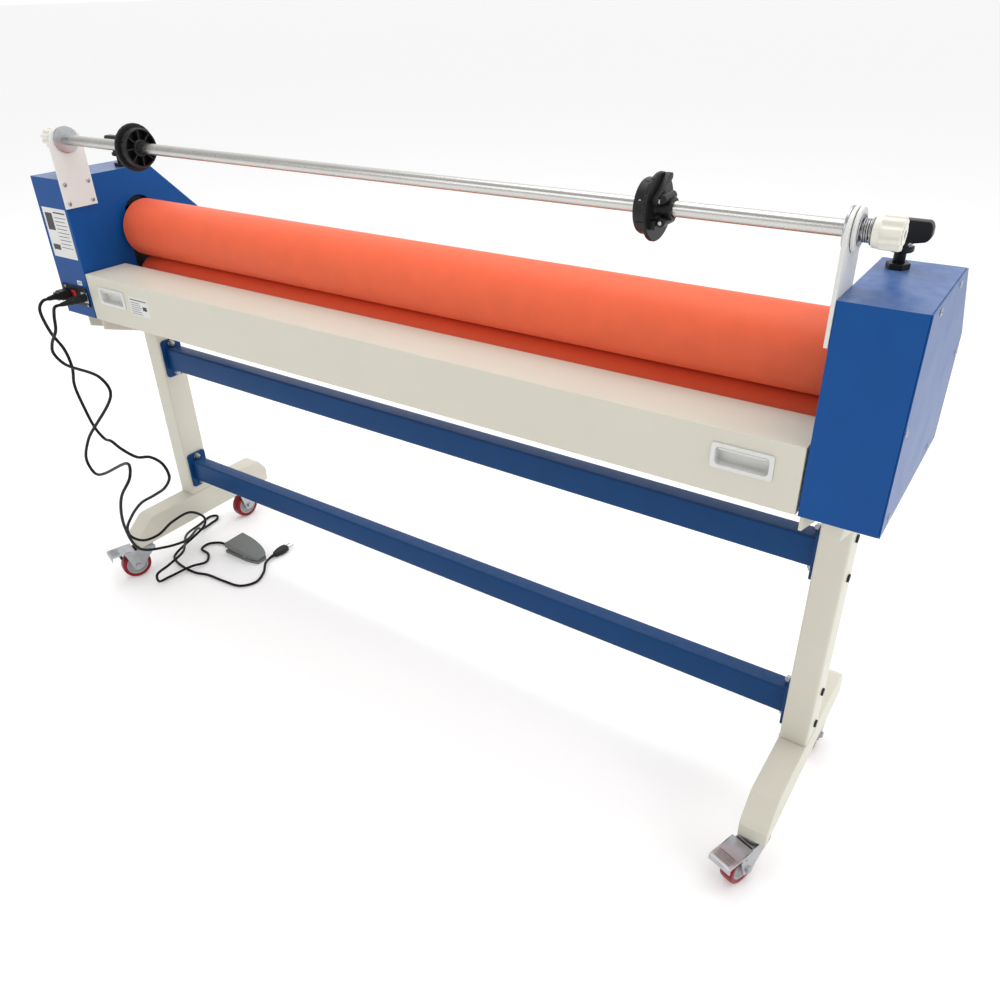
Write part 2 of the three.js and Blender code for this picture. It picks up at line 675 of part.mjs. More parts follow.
function coreChuck(side, flange) {
  const axis = [ROD_Y, ROD_Z];
  const ringFace = flange - 17;
  const at = (a, b) => [side * a, side * b];
  const bar = [[-34, -1.3], [34, -1.3], [34, 1.3], [-34, 1.3]];
  const ribs = [0, 45, 90, 135].map((degrees) =>
    plateX(placed(bar, degrees, axis), ...at(ringFace + 2, flange + 1)));
  const spigot = cut(
    cylinderX(37, at(ringFace, flange + 1), axis), cylinderX(33, at(ringFace - 1, flange), axis));
  return cut(
    join(
      spigot,
      cylinderX(45, at(flange, flange + 6), axis, 28),
      cylinderX(16, at(ringFace, flange + 1), axis, 16),
      cylinderX(19, at(flange + 5, flange + 28), axis, 16),
      cylinderX(3, at(flange + 5, flange + 18), LEVER_PIN, 8),
      ...ribs,
    ),
    cylinderX(ROD_RADIUS + 0.7, at(ringFace - 1, flange + 29), axis, 16),
  );
}

function chuckLever(side, flange) {
  const [y, z] = LEVER_PIN;
  const outline = [
    [-4, 5.5], [-7, 0], [-4, -5.5], [3, -5], [9, 0.5], [20, 9], [42, 24], [40, 31], [33, 29], [10, 12],
  ].map(([u, v]) => [y + u, z + v]);
  return cut(
    plateX(outline, side * (flange + 6.5), side * (flange + 15)),
    cylinderX(3.6, [side * (flange + 5), side * (flange + 16)], LEVER_PIN, 8),
  );
}

addPart('unwind_rod', unwindRod(), polishedSteel);
for (const [side, end] of SIDES) {
  const flange = side < 0 ? 570 : 558;
  addPart(`unwind_bracket_${end}`, unwindBracket(side), whitePaint);
  addPart(`rod_collar_${end}`, rodCollar(side), zincPlate);
  addPart(`friction_disc_${end}`, frictionDisc(side), whitePaint);
  addPart(`tension_knob_${end}`, tensionKnob(side), ivoryPlastic);
  addPart(`core_chuck_${end}`, coreChuck(side, flange), blackPlastic);
  addPart(`chuck_lever_${end}`, chuckLever(side, flange), blackPlastic);
}

// ---------------------------------------------------------------- sockets and connectors
const PANEL_FACE_Y = FRONT_Y - 3;

function socketPanel() {
  const plate = plateY(
    roundedRectangle([-875, SOCKET_Z], [49, 22], 3), PANEL_FACE_Y, FRONT_Y - GAP);
  const back = block([-920.5, -829.5], [FRONT_Y - 1, FRONT_Y + 26], [SOCKET_Z - 17.5, SOCKET_Z + 17.5]);
  const screws = [[-906, SOCKET_Z + 18], [-832, SOCKET_Z - 18]].map((place) =>
    cylinderY(2.6, [PANEL_FACE_Y - 1.2, PANEL_FACE_Y + 1], place, 10));
  const inlet = block(
    [MAINS_SOCKET_X - 13, MAINS_SOCKET_X + 13], [PANEL_FACE_Y - 1, PANEL_FACE_Y + 18],
    [SOCKET_Z - 9, SOCKET_Z + 9]);
  const rockerWindow = block(
    [-889, -873], [PANEL_FACE_Y - 1, PANEL_FACE_Y + 12], [SOCKET_Z - 13, SOCKET_Z + 13]);
  const jack = cylinderY(8, [PANEL_FACE_Y - 1, PANEL_FACE_Y + 16], [PEDAL_SOCKET_X, SOCKET_Z], 16);
  return cut(join(plate, back, ...screws), inlet, rockerWindow, jack);
}

// The rocker stands tipped on its cross pin, with its lower half pressed in.
function rockerSwitch() {
  const outline = [[4, -11.5], [4, 11.5], [-3, 11.5], [-1, 0], [-3, -11.5]];
  return plateX(placed(outline, 8, [PANEL_FACE_Y + 3, SOCKET_Z]), -888, -874);
}

function mainsConnector() {
  const axis = [MAINS_SOCKET_X, SOCKET_Z];
  return join(
    block(
      [MAINS_SOCKET_X - 12.3, MAINS_SOCKET_X + 12.3], [PANEL_FACE_Y - 4, PANEL_FACE_Y + 14],
      [SOCKET_Z - 8.3, SOCKET_Z + 8.3]),
    plateY(roundedRectangle(axis, [14, 10.5], 4), PANEL_FACE_Y - 30, PANEL_FACE_Y - 1),
    cylinderY(7.5, [PANEL_FACE_Y - 36, PANEL_FACE_Y - 29], axis, 14),
    cylinderY(5.5, [PANEL_FACE_Y - 50, PANEL_FACE_Y - 35], axis, 12),
  );
}

function pedalConnector() {
  const axis = [PEDAL_SOCKET_X, SOCKET_Z];
  return join(
    cylinderY(7.4, [PANEL_FACE_Y - 3, PANEL_FACE_Y + 12], axis, 16),
    cylinderY(9.5, [PANEL_FACE_Y - 38, PANEL_FACE_Y - 1], axis, 16),
    cylinderY(7.5, [PANEL_FACE_Y - 50, PANEL_FACE_Y - 37], axis, 14),
    cylinderY(5.5, [PANEL_FACE_Y - 60, PANEL_FACE_Y - 49], axis, 12),
  );
}

addPart('socket_panel', socketPanel(), blackPlastic);
addPart('rocker_switch', rockerSwitch(), redPlastic);
addPart('mains_connector', mainsConnector(), blackPlastic);
addPart('pedal_connector', pedalConnector(), blackPlastic);

// ---------------------------------------------------------------- foot switch
// The treadle is hinged at its low end and sits on a spring over the base.
const PEDAL_X = [-739, -615];
const PEDAL_Y = [3, 68];
const TREADLE_PIN = [PEDAL_X[1] - 8, 13];
const GLAND_Y = 26;

function pedalBase() {
  const [x0, x1] = PEDAL_X;
  const side = [[x0, 0], [x1, 0], [x1, 9], [x0, 11]];
  const lug = [[x1 - 13, 8], [x1 - 3, 8], [x1 - 3, 16], [x1 - 13, 16]];
  const [pinX, pinZ] = TREADLE_PIN;
  return join(
    plateY(side, ...PEDAL_Y),
    plateY(lug, 31, 40),
    cylinderY(2.5, [PEDAL_Y[0] + 6, PEDAL_Y[1] - 6], [pinX, pinZ], 8),
    cylinderX(5.5, [x0 - 12, x0 + 1], [GLAND_Y, 5.6], 10),
  );
}

function pedalTreadle() {
  const [x0, x1] = PEDAL_X;
  const outline = [
    [x0, 18], [x0, 32], [x0 + 6, 35], [x1 - 22, 23], [x1 + 1, 18], [x1 + 1, 10.5], [x1 - 24, 11.8],
  ];
  const under = [[x0 + 3, 10], [x0 + 3, 30], [x1 - 22, 20], [x1 - 2, 16.5], [x1 - 2, 8]];
  const [y0, y1] = PEDAL_Y;
  const shell = cut(plateY(outline, y0, y1), plateY(under, y0 + 3, y1 - 3));
  const [pinX, pinZ] = TREADLE_PIN;
  const ears = [[y0 + 2, y0 + 12], [y1 - 12, y1 - 2]].map(([a, b]) =>
    cut(block([pinX - 5, pinX + 5], [a, b], [10.2, 20]), cylinderY(3, [a - 1, b + 1], [pinX, pinZ], 8)));
  return join(shell, ...ears);
}

addPart('pedal_base', pedalBase(), greyPlastic);
addPart('pedal_treadle', pedalTreadle(), greyPlastic);

// ---------------------------------------------------------------- mains plug and the two cords
const PLUG_X = -602;
const PLUG_Z = 9;

function mainsPlug() {
  const axis = [PLUG_X, PLUG_Z];
  const half = [[6, 60], [9, 66], [13, 88], [12, 100], [9, 108]];
  const body = [
    ...half.map(([u, y]) => [PLUG_X + u, y]),
    ...half.toReversed().map(([u, y]) => [PLUG_X - u, y]),
  ];
  const shape = new THREE.Shape(body.map(([x, y]) => new THREE.Vector2(x, y)));
  const slab = new THREE.ExtrudeGeometry(shape, { depth: 13, bevelEnabled: false });
  slab.translate(0, 0, PLUG_Z - 6.5);
  const pins = [-9.3, 9.3].map((x) => cylinderY(2.4, [98, 126], [PLUG_X + x * 0.8, PLUG_Z], 8));
  return join(solid(slab), cylinderY(5, [48, 62], axis, 10), ...pins);
}

// Hand-laid routes: each cord leaves its socket, hangs in loose curls before the left box
// and runs out over the floor.
const MAINS_ROUTE = [
  [-906, -197.5, 763], [-906, -210, 762], [-896, -228, 750], [-856, -240, 706], [-825, -236, 668],
  [-826, -230, 622], [-841, -229, 574], [-828, -229, 522], [-804, -230, 474], [-766, -234, 455],
  [-732, -238, 459], [-700, -237, 447], [-662, -226, 431], [-628, -214, 435], [-598, -206, 422],
  [-586, -204, 392], [-608, -208, 357], [-650, -214, 326], [-704, -224, 290], [-752, -232, 238],
  [-778, -236, 196], [-784, -228, 166], [-770, -208, 149], [-764, -170, 145], [-786, -104, 146],
  [-796, -40, 138], [-794, -4, 104], [-812, 2, 66], [-838, -24, 32], [-852, -58, 11], [-844, -90, 4],
  [-812, -106, 4], [-732, -112, 4], [-690, -100, 4], [-634, -96, 4], [-576, -86, 4], [-554, -52, 4],
  [-570, -10, 4], [-597, 24, 7], [PLUG_X, 47.2, 9],
];
const PEDAL_ROUTE = [
  [-838, -207.6, 763], [-837, -222, 763], [-812, -243, 754], [-812, -249, 722], [-848, -248, 682],
  [-861, -245, 656], [-838, -241, 634], [-706, -236, 624], [-690, -231, 592],
  [-818, -248, 442], [-844, -252, 382], [-826, -250, 350], [-642, -262, 434],
  [-616, -282, 418], [-656, -294, 356], [-712, -276, 244], [-742, -236, 148], [-746, -170, 114],
  [-756, -100, 92], [-826, -12, 59], [-882, 40, 10], [-894, 80, 4.6], [-899, 107, 4.6], [-914, 118, 4.6],
  [-927, 105, 4.6], [-918, 58, 4.6], [-884, -12, 20], [-776, -106, 49],
  [-758, -166, 49], [-762, -200, 39], [-767, -198, 13], [-772, -166, 4.6], [-750, -106, 13],
  [-744, -62, 4.6],
  [-770, -33, 4.6], [-806, -26, 4.6], [-812, 0, 4.6], [-790, 22, 5], [-768, 26, 5.6],
  [-751.6, 26, 5.6],
];

addPart('mains_plug', mainsPlug(), blackPlastic);
addPart('mains_cord', tubeAlong(MAINS_ROUTE, CORD_RADIUS, 80), blackCord);
addPart('pedal_cord', tubeAlong(PEDAL_ROUTE, CORD_RADIUS, 80), blackCord);

export default laminator;
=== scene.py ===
import math

import bmesh
import bpy
from mathutils import Matrix, Vector


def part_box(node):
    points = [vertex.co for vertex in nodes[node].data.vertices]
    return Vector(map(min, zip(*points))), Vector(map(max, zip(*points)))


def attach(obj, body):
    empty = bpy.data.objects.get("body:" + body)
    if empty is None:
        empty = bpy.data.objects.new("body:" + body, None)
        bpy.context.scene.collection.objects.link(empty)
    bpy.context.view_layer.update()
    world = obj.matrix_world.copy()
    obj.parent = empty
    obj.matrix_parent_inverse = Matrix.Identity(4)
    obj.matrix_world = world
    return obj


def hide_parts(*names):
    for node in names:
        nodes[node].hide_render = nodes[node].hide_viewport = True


# Cold roll laminator. Shapes are written in millimetres and turned into metres when they are built.
MM = 0.001
SIDES = ((-1, "left"), (1, "right"))

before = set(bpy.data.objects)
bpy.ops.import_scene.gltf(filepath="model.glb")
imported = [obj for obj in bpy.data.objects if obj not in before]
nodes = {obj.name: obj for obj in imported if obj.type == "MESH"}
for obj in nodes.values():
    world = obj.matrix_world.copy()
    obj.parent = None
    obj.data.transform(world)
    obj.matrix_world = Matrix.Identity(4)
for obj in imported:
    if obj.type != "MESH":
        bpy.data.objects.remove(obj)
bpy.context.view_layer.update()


def corners(node):
    """Lowest and highest corner of a CAD node, in millimetres."""
    low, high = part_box(node)
    return [v / MM for v in low], [v / MM for v in high]


# ------------------------------------------------------------------ sizes from the frame
BOX_LOW, BOX_HIGH = corners("housing_right")
COVER_LOW, COVER_HIGH = corners("side_cover_right")
FRONT_Y, REAR_Y = BOX_LOW[1], BOX_HIGH[1]
BOX_BASE_Z, BOX_TOP_Z = BOX_LOW[2], BOX_HIGH[2]
BOX_CHAMFER_Y = FRONT_Y + 225
BOX_CHAMFER_Z = 892
ROLLER_LOW, ROLLER_HIGH = corners("top_roller_sleeve")
PRESS_LOW, PRESS_HIGH = corners("bottom_roller_sleeve")
ROLLER_Y = (ROLLER_LOW[1] + ROLLER_HIGH[1]) / 2
TOP_ROLLER_Z = (ROLLER_LOW[2] + ROLLER_HIGH[2]) / 2
BOTTOM_ROLLER_Z = (PRESS_LOW[2] + PRESS_HIGH[2]) / 2
ROLLER_HALF = ROLLER_HIGH[0]
TOP_ROLLER_RADIUS, TOP_CORE_RADIUS = 64, 55
BOTTOM_ROLLER_RADIUS, BOTTOM_CORE_RADIUS = 51, 43
ROD_Y = FRONT_Y + 36
ROD_Z = 1100
ROD_AXIS = (ROD_Y, ROD_Z)
ROD_RADIUS = 10.5
ROD_HALF = 846
BRACKET_INNER_X, BRACKET_OUTER_X = 814.5, 819.7
BRACKET_HALF = 38
CHUCK_FLANGE_X = {"left": 570, "right": 558}
CHUCK_BORE = ROD_RADIUS + 0.7
LEVER_PIVOT = (ROD_Y - 24, ROD_Z + 12)
KNOB_X = 850
POST_X = 850
SADDLE_INNER_X, SADDLE_OUTER_X = 820.5, 879.5
BOLT_Y = FRONT_Y + 178
STRETCHERS = (("upper", 560), ("lower", 235))
PULL_X = 732
PULL_Z = 777.5
SOCKET_Z = 763
PANEL_Y = FRONT_Y - 3
CORD_RADIUS = 3.5
PLUG_X = -602
PLUG_Z = 9

# ------------------------------------------------------------------ camera
CAMERA_PLACE = (1.0616, -1.2112, 1.3585)
CAMERA_YAW = 34.966       # degrees, turned from +Y towards -X
CAMERA_PITCH = -30.816
CAMERA_ROLL = -1.513
CAMERA_LENS = 30.97


def make_camera():
    yaw, pitch, roll = (math.radians(a) for a in (CAMERA_YAW, CAMERA_PITCH, CAMERA_ROLL))
    ahead = Vector((-math.sin(yaw) * math.cos(pitch), math.cos(yaw) * math.cos(pitch), math.sin(pitch)))
    level = Vector((math.cos(yaw), math.sin(yaw), 0))
    up = level.cross(ahead)
    right = level * math.cos(roll) + up * math.sin(roll)
    up = right.cross(ahead)
    data = bpy.data.cameras.new("camera")
    data.lens = CAMERA_LENS
    data.sensor_width = 36
    data.clip_start = 0.05
    camera = bpy.data.objects.new("camera", data)
    turn = Matrix((right, up, -ahead)).transposed()
    camera.matrix_world = Matrix.Translation(CAMERA_PLACE) @ turn.to_4x4()
    bpy.context.scene.collection.objects.link(camera)
    bpy.context.scene.camera = camera


make_camera()


# ------------------------------------------------------------------ materials
def tinted(color, factor):
    return (*(min(1.0, c * factor) for c in color), 1.0)


def surface(name, color, roughness, metallic=0.0, mottle=(30, 0.05), grain=(900, 0.05), spread=0.05,
            coat=0.0, stretch=(1, 1, 1), streak=0.0, dust_and_top_light=0.0, shine=0.5):
    """A procedural finish: slow colour drift, uneven gloss, and a fine bump in the surface."""
    material = bpy.data.materials.new(name)
    material.use_nodes = True
    tree = material.node_tree
    shader = tree.nodes["Principled BSDF"]
    shader.inputs["Metallic"].default_value = metallic
    shader.inputs["Coat Weight"].default_value = coat
    shader.inputs["Specular IOR Level"].default_value = shine
    shader.inputs["Coat Roughness"].default_value = 0.12
    coords = tree.nodes.new("ShaderNodeTexCoord")
    mapping = tree.nodes.new("ShaderNodeMapping")
    mapping.inputs["Scale"].default_value = stretch
    tree.links.new(coords.outputs["Object"], mapping.inputs["Vector"])

    def noise(scale, detail, source):
        node = tree.nodes.new("ShaderNodeTexNoise")
        node.inputs["Scale"].default_value = scale
        node.inputs["Detail"].default_value = detail
        tree.links.new(source, node.inputs["Vector"])
        return node.outputs["Fac"]

    drift = noise(mottle[0], 4, coords.outputs["Object"])
    mix = tree.nodes.new("ShaderNodeMix")
    mix.data_type = "RGBA"
    mix.inputs["A"].default_value = tinted(color, 1 - mottle[1])
    mix.inputs["B"].default_value = tinted(color, 1 + mottle[1])
    tree.links.new(drift, mix.inputs["Factor"])
    result = mix.outputs["Result"]
    # Faces that look up get pale patches: part dust, part painted light from above.
    if dust_and_top_light:
        result = add_dust_and_top_light(tree, result, coords.outputs["Object"], dust_and_top_light)
    tree.links.new(result, shader.inputs["Base Color"])

    fine = noise(grain[0], 2, mapping.outputs["Vector"])
    gloss = tree.nodes.new("ShaderNodeMapRange")
    gloss.inputs["To Min"].default_value = roughness - spread
    gloss.inputs["To Max"].default_value = roughness + spread
    tree.links.new(fine if streak else drift, gloss.inputs["Value"])
    tree.links.new(gloss.outputs["Result"], shader.inputs["Roughness"])
    bump = tree.nodes.new("ShaderNodeBump")
    bump.inputs["Strength"].default_value = grain[1]
    bump.inputs["Distance"].default_value = 0.0006
    tree.links.new(fine, bump.inputs["Height"])
    tree.links.new(bump.outputs["Normal"], shader.inputs["Normal"])
    return material


def add_dust_and_top_light(tree, color, place, amount):
    """Pale dust and scuffs, together with painted light from above, that lie on the faces that look up."""
    normal = tree.nodes.new("ShaderNodeNewGeometry")
    split = tree.nodes.new("ShaderNodeSeparateXYZ")
    tree.links.new(normal.outputs["Normal"], split.inputs["Vector"])
    facing = tree.nodes.new("ShaderNodeMapRange")
    facing.inputs["From Min"].default_value = 0.6
    facing.inputs["From Max"].default_value = 1.0
    facing.inputs["To Max"].default_value = amount
    tree.links.new(split.outputs["Z"], facing.inputs["Value"])
    specks = tree.nodes.new("ShaderNodeTexNoise")
    specks.inputs["Scale"].default_value = 60
    specks.inputs["Detail"].default_value = 8
    tree.links.new(place, specks.inputs["Vector"])
    patch = tree.nodes.new("ShaderNodeMath")
    patch.operation = "MULTIPLY"
    tree.links.new(facing.outputs["Result"], patch.inputs[0])
    tree.links.new(specks.outputs["Fac"], patch.inputs[1])
    mix = tree.nodes.new("ShaderNodeMix")
    mix.data_type = "RGBA"
    # The pale bluish grey of dust and of painted overhead light.
    mix.inputs["B"].default_value = (0.62, 0.66, 0.72, 1)
    tree.links.new(patch.outputs["Value"], mix.inputs["Factor"])
    tree.links.new(color, mix.inputs["A"])
    return mix.outputs["Result"]


BLUE = (0.0068, 0.072, 0.268)
CREAM = (0.640, 0.620, 0.530)
SILICONE = (0.860, 0.138, 0.057)

finish = {
    # The blue paint's up-facing faces are lightened: part dust, part painted top light.
    "blue_paint": surface("blue_paint", BLUE, 0.30, 0.0, (14, 0.10), (700, 0.16), dust_and_top_light=0.24, shine=0.12),
    "cream_paint": surface("cream_paint", CREAM, 0.42, 0.0, (9, 0.03), (800, 0.14), shine=0.35),
    "white_paint": surface("white_paint", (0.70, 0.70, 0.68), 0.40, 0.0, (12, 0.03), (800, 0.10), shine=0.40),
    "orange_silicone": surface("orange_silicone", SILICONE, 0.50, 0.0, (26, 0.08), (1300, 0.20),
                               spread=0.07, shine=0.25),
    "polished_steel": surface("polished_steel", (0.55, 0.54, 0.52), 0.26, 1.0, (18, 0.10), (500, 0.10),
                              stretch=(9, 0.5, 0.5), streak=1.0, spread=0.10),
    "plain_steel": surface("plain_steel", (0.42, 0.42, 0.43), 0.38, 1.0, (40, 0.12), (600, 0.10)),
    "zinc_plate": surface("zinc_plate", (0.44, 0.45, 0.47), 0.32, 1.0, (60, 0.28), (420, 0.22), spread=0.10),
    "cast_aluminium": surface("cast_aluminium", (0.40, 0.41, 0.42), 0.55, 0.8, (50, 0.10), (380, 0.40)),
    "black_plastic": surface("black_plastic", (0.010, 0.010, 0.011), 0.38, 0.0, (60, 0.25), (900, 0.30),
                             shine=0.25),
    "ivory_plastic": surface("ivory_plastic", (0.76, 0.74, 0.66), 0.38, 0.0, (40, 0.04), (700, 0.12),
                             coat=0.2),
    "grey_plastic": surface("grey_plastic", (0.155, 0.165, 0.160), 0.55, 0.0, (50, 0.10), (1100, 0.45)),
    "red_plastic": surface("red_plastic", (0.62, 0.010, 0.016), 0.25, 0.0, (60, 0.05), (700, 0.05), coat=0.4),
    "red_tread": surface("red_tread", (0.230, 0.004, 0.014), 0.30, 0.0, (70, 0.18), (500, 0.15), shine=0.25),
    "black_cord": surface("black_cord", (0.007, 0.007, 0.008), 0.40, 0.0, (80, 0.20), (1200, 0.25),
                          shine=0.15),
}
# A darker copy of the blue paint, used on the stretchers that sit under the deck: painted shade.
shaded_rail_paint = surface("shaded_rail_paint", (0.0052, 0.050, 0.165), 0.30, 0.0, (14, 0.10), (700, 0.16), dust_and_top_light=0.05,
                     shine=0.12)
ink = surface("label_ink", (0.05, 0.05, 0.055), 0.6, 0.0, (200, 0.20), (1500, 0.05))
hub_plastic = surface("hub_plastic", (0.36, 0.37, 0.38), 0.45, 0.0, (60, 0.08), (800, 0.20))
# A near-black copy of steel for the parts inside the end boxes: painted shade of the box's dark inside.
shadowed_steel = surface("shadowed_steel", (0.035, 0.035, 0.038), 0.55, 0.6, (60, 0.20), (500, 0.30))
weld_metal = surface("weld_metal", (0.55, 0.52, 0.45), 0.45, 0.0, (300, 0.25), (300, 0.60))


# ------------------------------------------------------------------ shapes
# A shape is a list of points and a list of faces, made round or along its own w axis and then
# laid along X, Y or Z. A profile is [radius, w] points and an outline is [u, v] points.
def along(axis, points):
    if axis == "X":
        return [(w, u, v) for u, v, w in points]
    if axis == "Y":
        return [(u, w, v) for u, v, w in points]
    return list(points)


def lathe(profile, axis, centre, steps=48):
    points, faces = [], []
    count = len(profile)
    for i in range(steps):
        angle = 2 * math.pi * i / steps
        c, s = math.cos(angle), math.sin(angle)
        points += [(centre[0] + r * c, centre[1] + r * s, w) for r, w in profile]
    for i in range(steps):
        here, there = i * count, ((i + 1) % steps) * count
        for j in range(count):
            k = (j + 1) % count
            if profile[j][0] < 1e-6 and profile[k][0] < 1e-6:
                continue
            faces.append((here + j, here + k, there + k, there + j))
    return along(axis, points), faces


def drum(axis, centre, radius, low, high, edge=0.6, steps=48, bore=0.0):
    """A cylinder, or a ring if it has a bore, with a small chamfer on its outer edges."""
    low, high = sorted((low, high))
    profile = [(bore, low), (radius - edge, low), (radius, low + edge), (radius, high - edge),
               (radius - edge, high), (bore, high)]
    return lathe(profile, axis, centre, steps)


def prism(outline, axis, low, high):
    low, high = sorted((low, high))
    count = len(outline)
    points = [(u, v, low) for u, v in outline] + [(u, v, high) for u, v in outline]
    faces = [tuple(range(count)), tuple(range(2 * count - 1, count - 1, -1))]
    faces += [(i, (i + 1) % count, count + (i + 1) % count, count + i) for i in range(count)]
    return along(axis, points), faces


def slab(low, high):
    outline = [(low[0], low[1]), (high[0], low[1]), (high[0], high[1]), (low[0], high[1])]
    return prism(outline, "Z", low[2], high[2])


def regular(centre, radius, count, turn=0.0):
    angles = [math.radians(turn) + 2 * math.pi * i / count for i in range(count)]
    return [(centre[0] + radius * math.cos(a), centre[1] + radius * math.sin(a)) for a in angles]


def rounded(centre, half, radius, steps=5):
    outline = []
    for corner, (su, sv) in enumerate(((1, 1), (-1, 1), (-1, -1), (1, -1))):
        for i in range(steps + 1):
            angle = math.pi / 2 * (corner + i / steps)
            outline.append((centre[0] + su * (half[0] - radius) + radius * math.cos(angle),
                            centre[1] + sv * (half[1] - radius) + radius * math.sin(angle)))
    return outline


def mirrored(outline, centre):
    """Half an outline, given from its bottom to its top, with its mirror image about u = centre."""
    right = [(centre + u, v) for u, v in outline]
    return right + [(centre - u, v) for u, v in reversed(outline)]


def tube(path, radius, steps=12):
    """A round bar that follows a list of points, with flat ends."""
    path = [Vector(p) for p in path]
    points, faces = [], []
    side = Vector((0, 0, 1))
    for i, place in enumerate(path):
        ahead = (path[min(i + 1, len(path) - 1)] - path[max(i - 1, 0)]).normalized()
        if abs(ahead.dot(side)) > 0.95:
            side = Vector((1, 0, 0))
        u = ahead.cross(side).normalized()
        v = ahead.cross(u)
        side = -v
        ring = radius[i] if isinstance(radius, (list, tuple)) else radius
        points += [tuple(place + (u * math.cos(a) + v * math.sin(a)) * ring)
                   for a in (2 * math.pi * k / steps for k in range(steps))]
    for i in range(len(path) - 1):
        for k in range(steps):
            n = (k + 1) % steps
            faces.append((i * steps + k, i * steps + n, (i + 1) * steps + n, (i + 1) * steps + k))
    last = (len(path) - 1) * steps
    faces += [tuple(range(steps)), tuple(range(last + steps - 1, last - 1, -1))]
    return points, faces


def make_mesh(name, shapes, place=None):
    build = bmesh.new()
    for points, faces in shapes:
        verts = [build.verts.new(Vector(p) * MM) for p in points]
        for face in faces:
            ring = [verts[i] for i in face]
            if len(set(ring)) == len(ring):
                build.faces.new(ring)
    bmesh.ops.remove_doubles(build, verts=build.verts, dist=1e-7)
    bmesh.ops.recalc_face_normals(build, faces=build.faces)
    if place is not None:
        build.transform(place)
    mesh = bpy.data.meshes.new(name)
    build.to_mesh(mesh)
    build.free()
    return mesh


def shade(mesh, degrees=32):
    mesh.polygons.foreach_set("use_smooth", [True] * len(mesh.polygons))
    mesh.set_sharp_from_angle(angle=math.radians(degrees))


def round_edges(obj, width, segments=3):
    bevel = obj.modifiers.new("edges", "BEVEL")
    bevel.width = width * MM
    bevel.segments = segments
    bevel.limit_method = "ANGLE"
    bevel.angle_limit = math.radians(34)
    bevel.use_clamp_overlap = False
    bevel.harden_normals = True


def piece(name, shapes, slot, body, edge=0.5, stands_for=(), material=None, place=None, cutters=()):
    """Makes one visible piece, lets it ride on its body, and hides the CAD nodes it stands for."""
    obj = bpy.data.objects.new(name, make_mesh(name, shapes, place))
    bpy.context.scene.collection.objects.link(obj)
    obj.data.materials.append(material or finish[slot])
    for number, cutter in enumerate(cutters):
        carve(obj, cutter, f"{name}_cut_{number}", place)
    shade(obj.data)
    if edge:
        round_edges(obj, edge)
    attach(obj, body)
    if stands_for:
        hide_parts(*stands_for)
    return obj


def carve(obj, shapes, name, place):
    cutter = bpy.data.objects.new(name, make_mesh(name, shapes, place))
    bpy.context.scene.collection.objects.link(cutter)
    cut = obj.modifiers.new("cut", "BOOLEAN")
    cut.operation = "DIFFERENCE"
    cut.solver = "EXACT"
    cut.use_self = True
    cut.object = cutter
    bpy.context.view_layer.update()
    solid = bpy.data.meshes.new_from_object(obj.evaluated_get(bpy.context.evaluated_depsgraph_get()))
    obj.modifiers.remove(cut)
    obj.data = solid
    bpy.data.objects.remove(cutter)


def keep(node, slot, edge=0.0, material=None):
    """A CAD node stays as it is, with its finish and with its sharp edges rounded."""
    obj = nodes[node]
    obj.data.materials.clear()
    obj.data.materials.append(material or finish[slot])
    weld = obj.modifiers.new("weld", "WELD")
    weld.merge_threshold = 1e-5
    flat = obj.modifiers.new("flat", "DECIMATE")
    flat.decimate_type = "DISSOLVE"
    flat.angle_limit = math.radians(1)
    if edge:
        round_edges(obj, edge)
    return obj


# ------------------------------------------------------------------ cords
MAINS_ROUTE = [
    (-906, -197.5, 763), (-906, -210, 762), (-896, -228, 750), (-856, -240, 706), (-825, -236, 668),
    (-826, -230, 622), (-841, -229, 574), (-828, -229, 522), (-804, -230, 474), (-766, -234, 455),
    (-732, -238, 459), (-700, -237, 447), (-662, -226, 431), (-628, -214, 435), (-598, -206, 422),
    (-586, -204, 392), (-608, -208, 357), (-650, -214, 326), (-704, -224, 290), (-752, -232, 238),
    (-778, -236, 196), (-784, -228, 166), (-770, -208, 149), (-764, -170, 145), (-786, -104, 146),
    (-796, -40, 138), (-794, -4, 104), (-812, 2, 66), (-838, -24, 32), (-852, -58, 11), (-844, -90, 4),
    (-812, -106, 4), (-732, -112, 4), (-690, -100, 4), (-634, -96, 4), (-576, -86, 4), (-554, -52, 4),
    (-570, -10, 4), (-597, 24, 7), (PLUG_X, 47.2, 9),
]
PEDAL_ROUTE = [
    (-838, -207.6, 763), (-837, -222, 763), (-812, -243, 754), (-812, -249, 722), (-848, -248, 682),
    (-861, -245, 656), (-838, -241, 634), (-706, -236, 624), (-690, -231, 592),
    (-818, -248, 442), (-844, -252, 382), (-826, -250, 350), (-642, -262, 434),
    (-616, -282, 418), (-656, -294, 356), (-712, -276, 244), (-742, -236, 148), (-746, -170, 114),
    (-756, -100, 92), (-826, -12, 59), (-882, 40, 10), (-894, 80, 4.6), (-899, 107, 4.6), (-914, 118, 4.6),
    (-927, 105, 4.6), (-918, 58, 4.6), (-884, -12, 20), (-776, -106, 49),
    (-758, -166, 49), (-762, -200, 39), (-767, -198, 13), (-772, -166, 4.6), (-750, -106, 13),
    (-744, -62, 4.6), (-770, -33, 4.6), (-806, -26, 4.6), (-812, 0, 4.6), (-790, 22, 5), (-768, 26, 5.6),
    (-751.6, 26, 5.6),
]


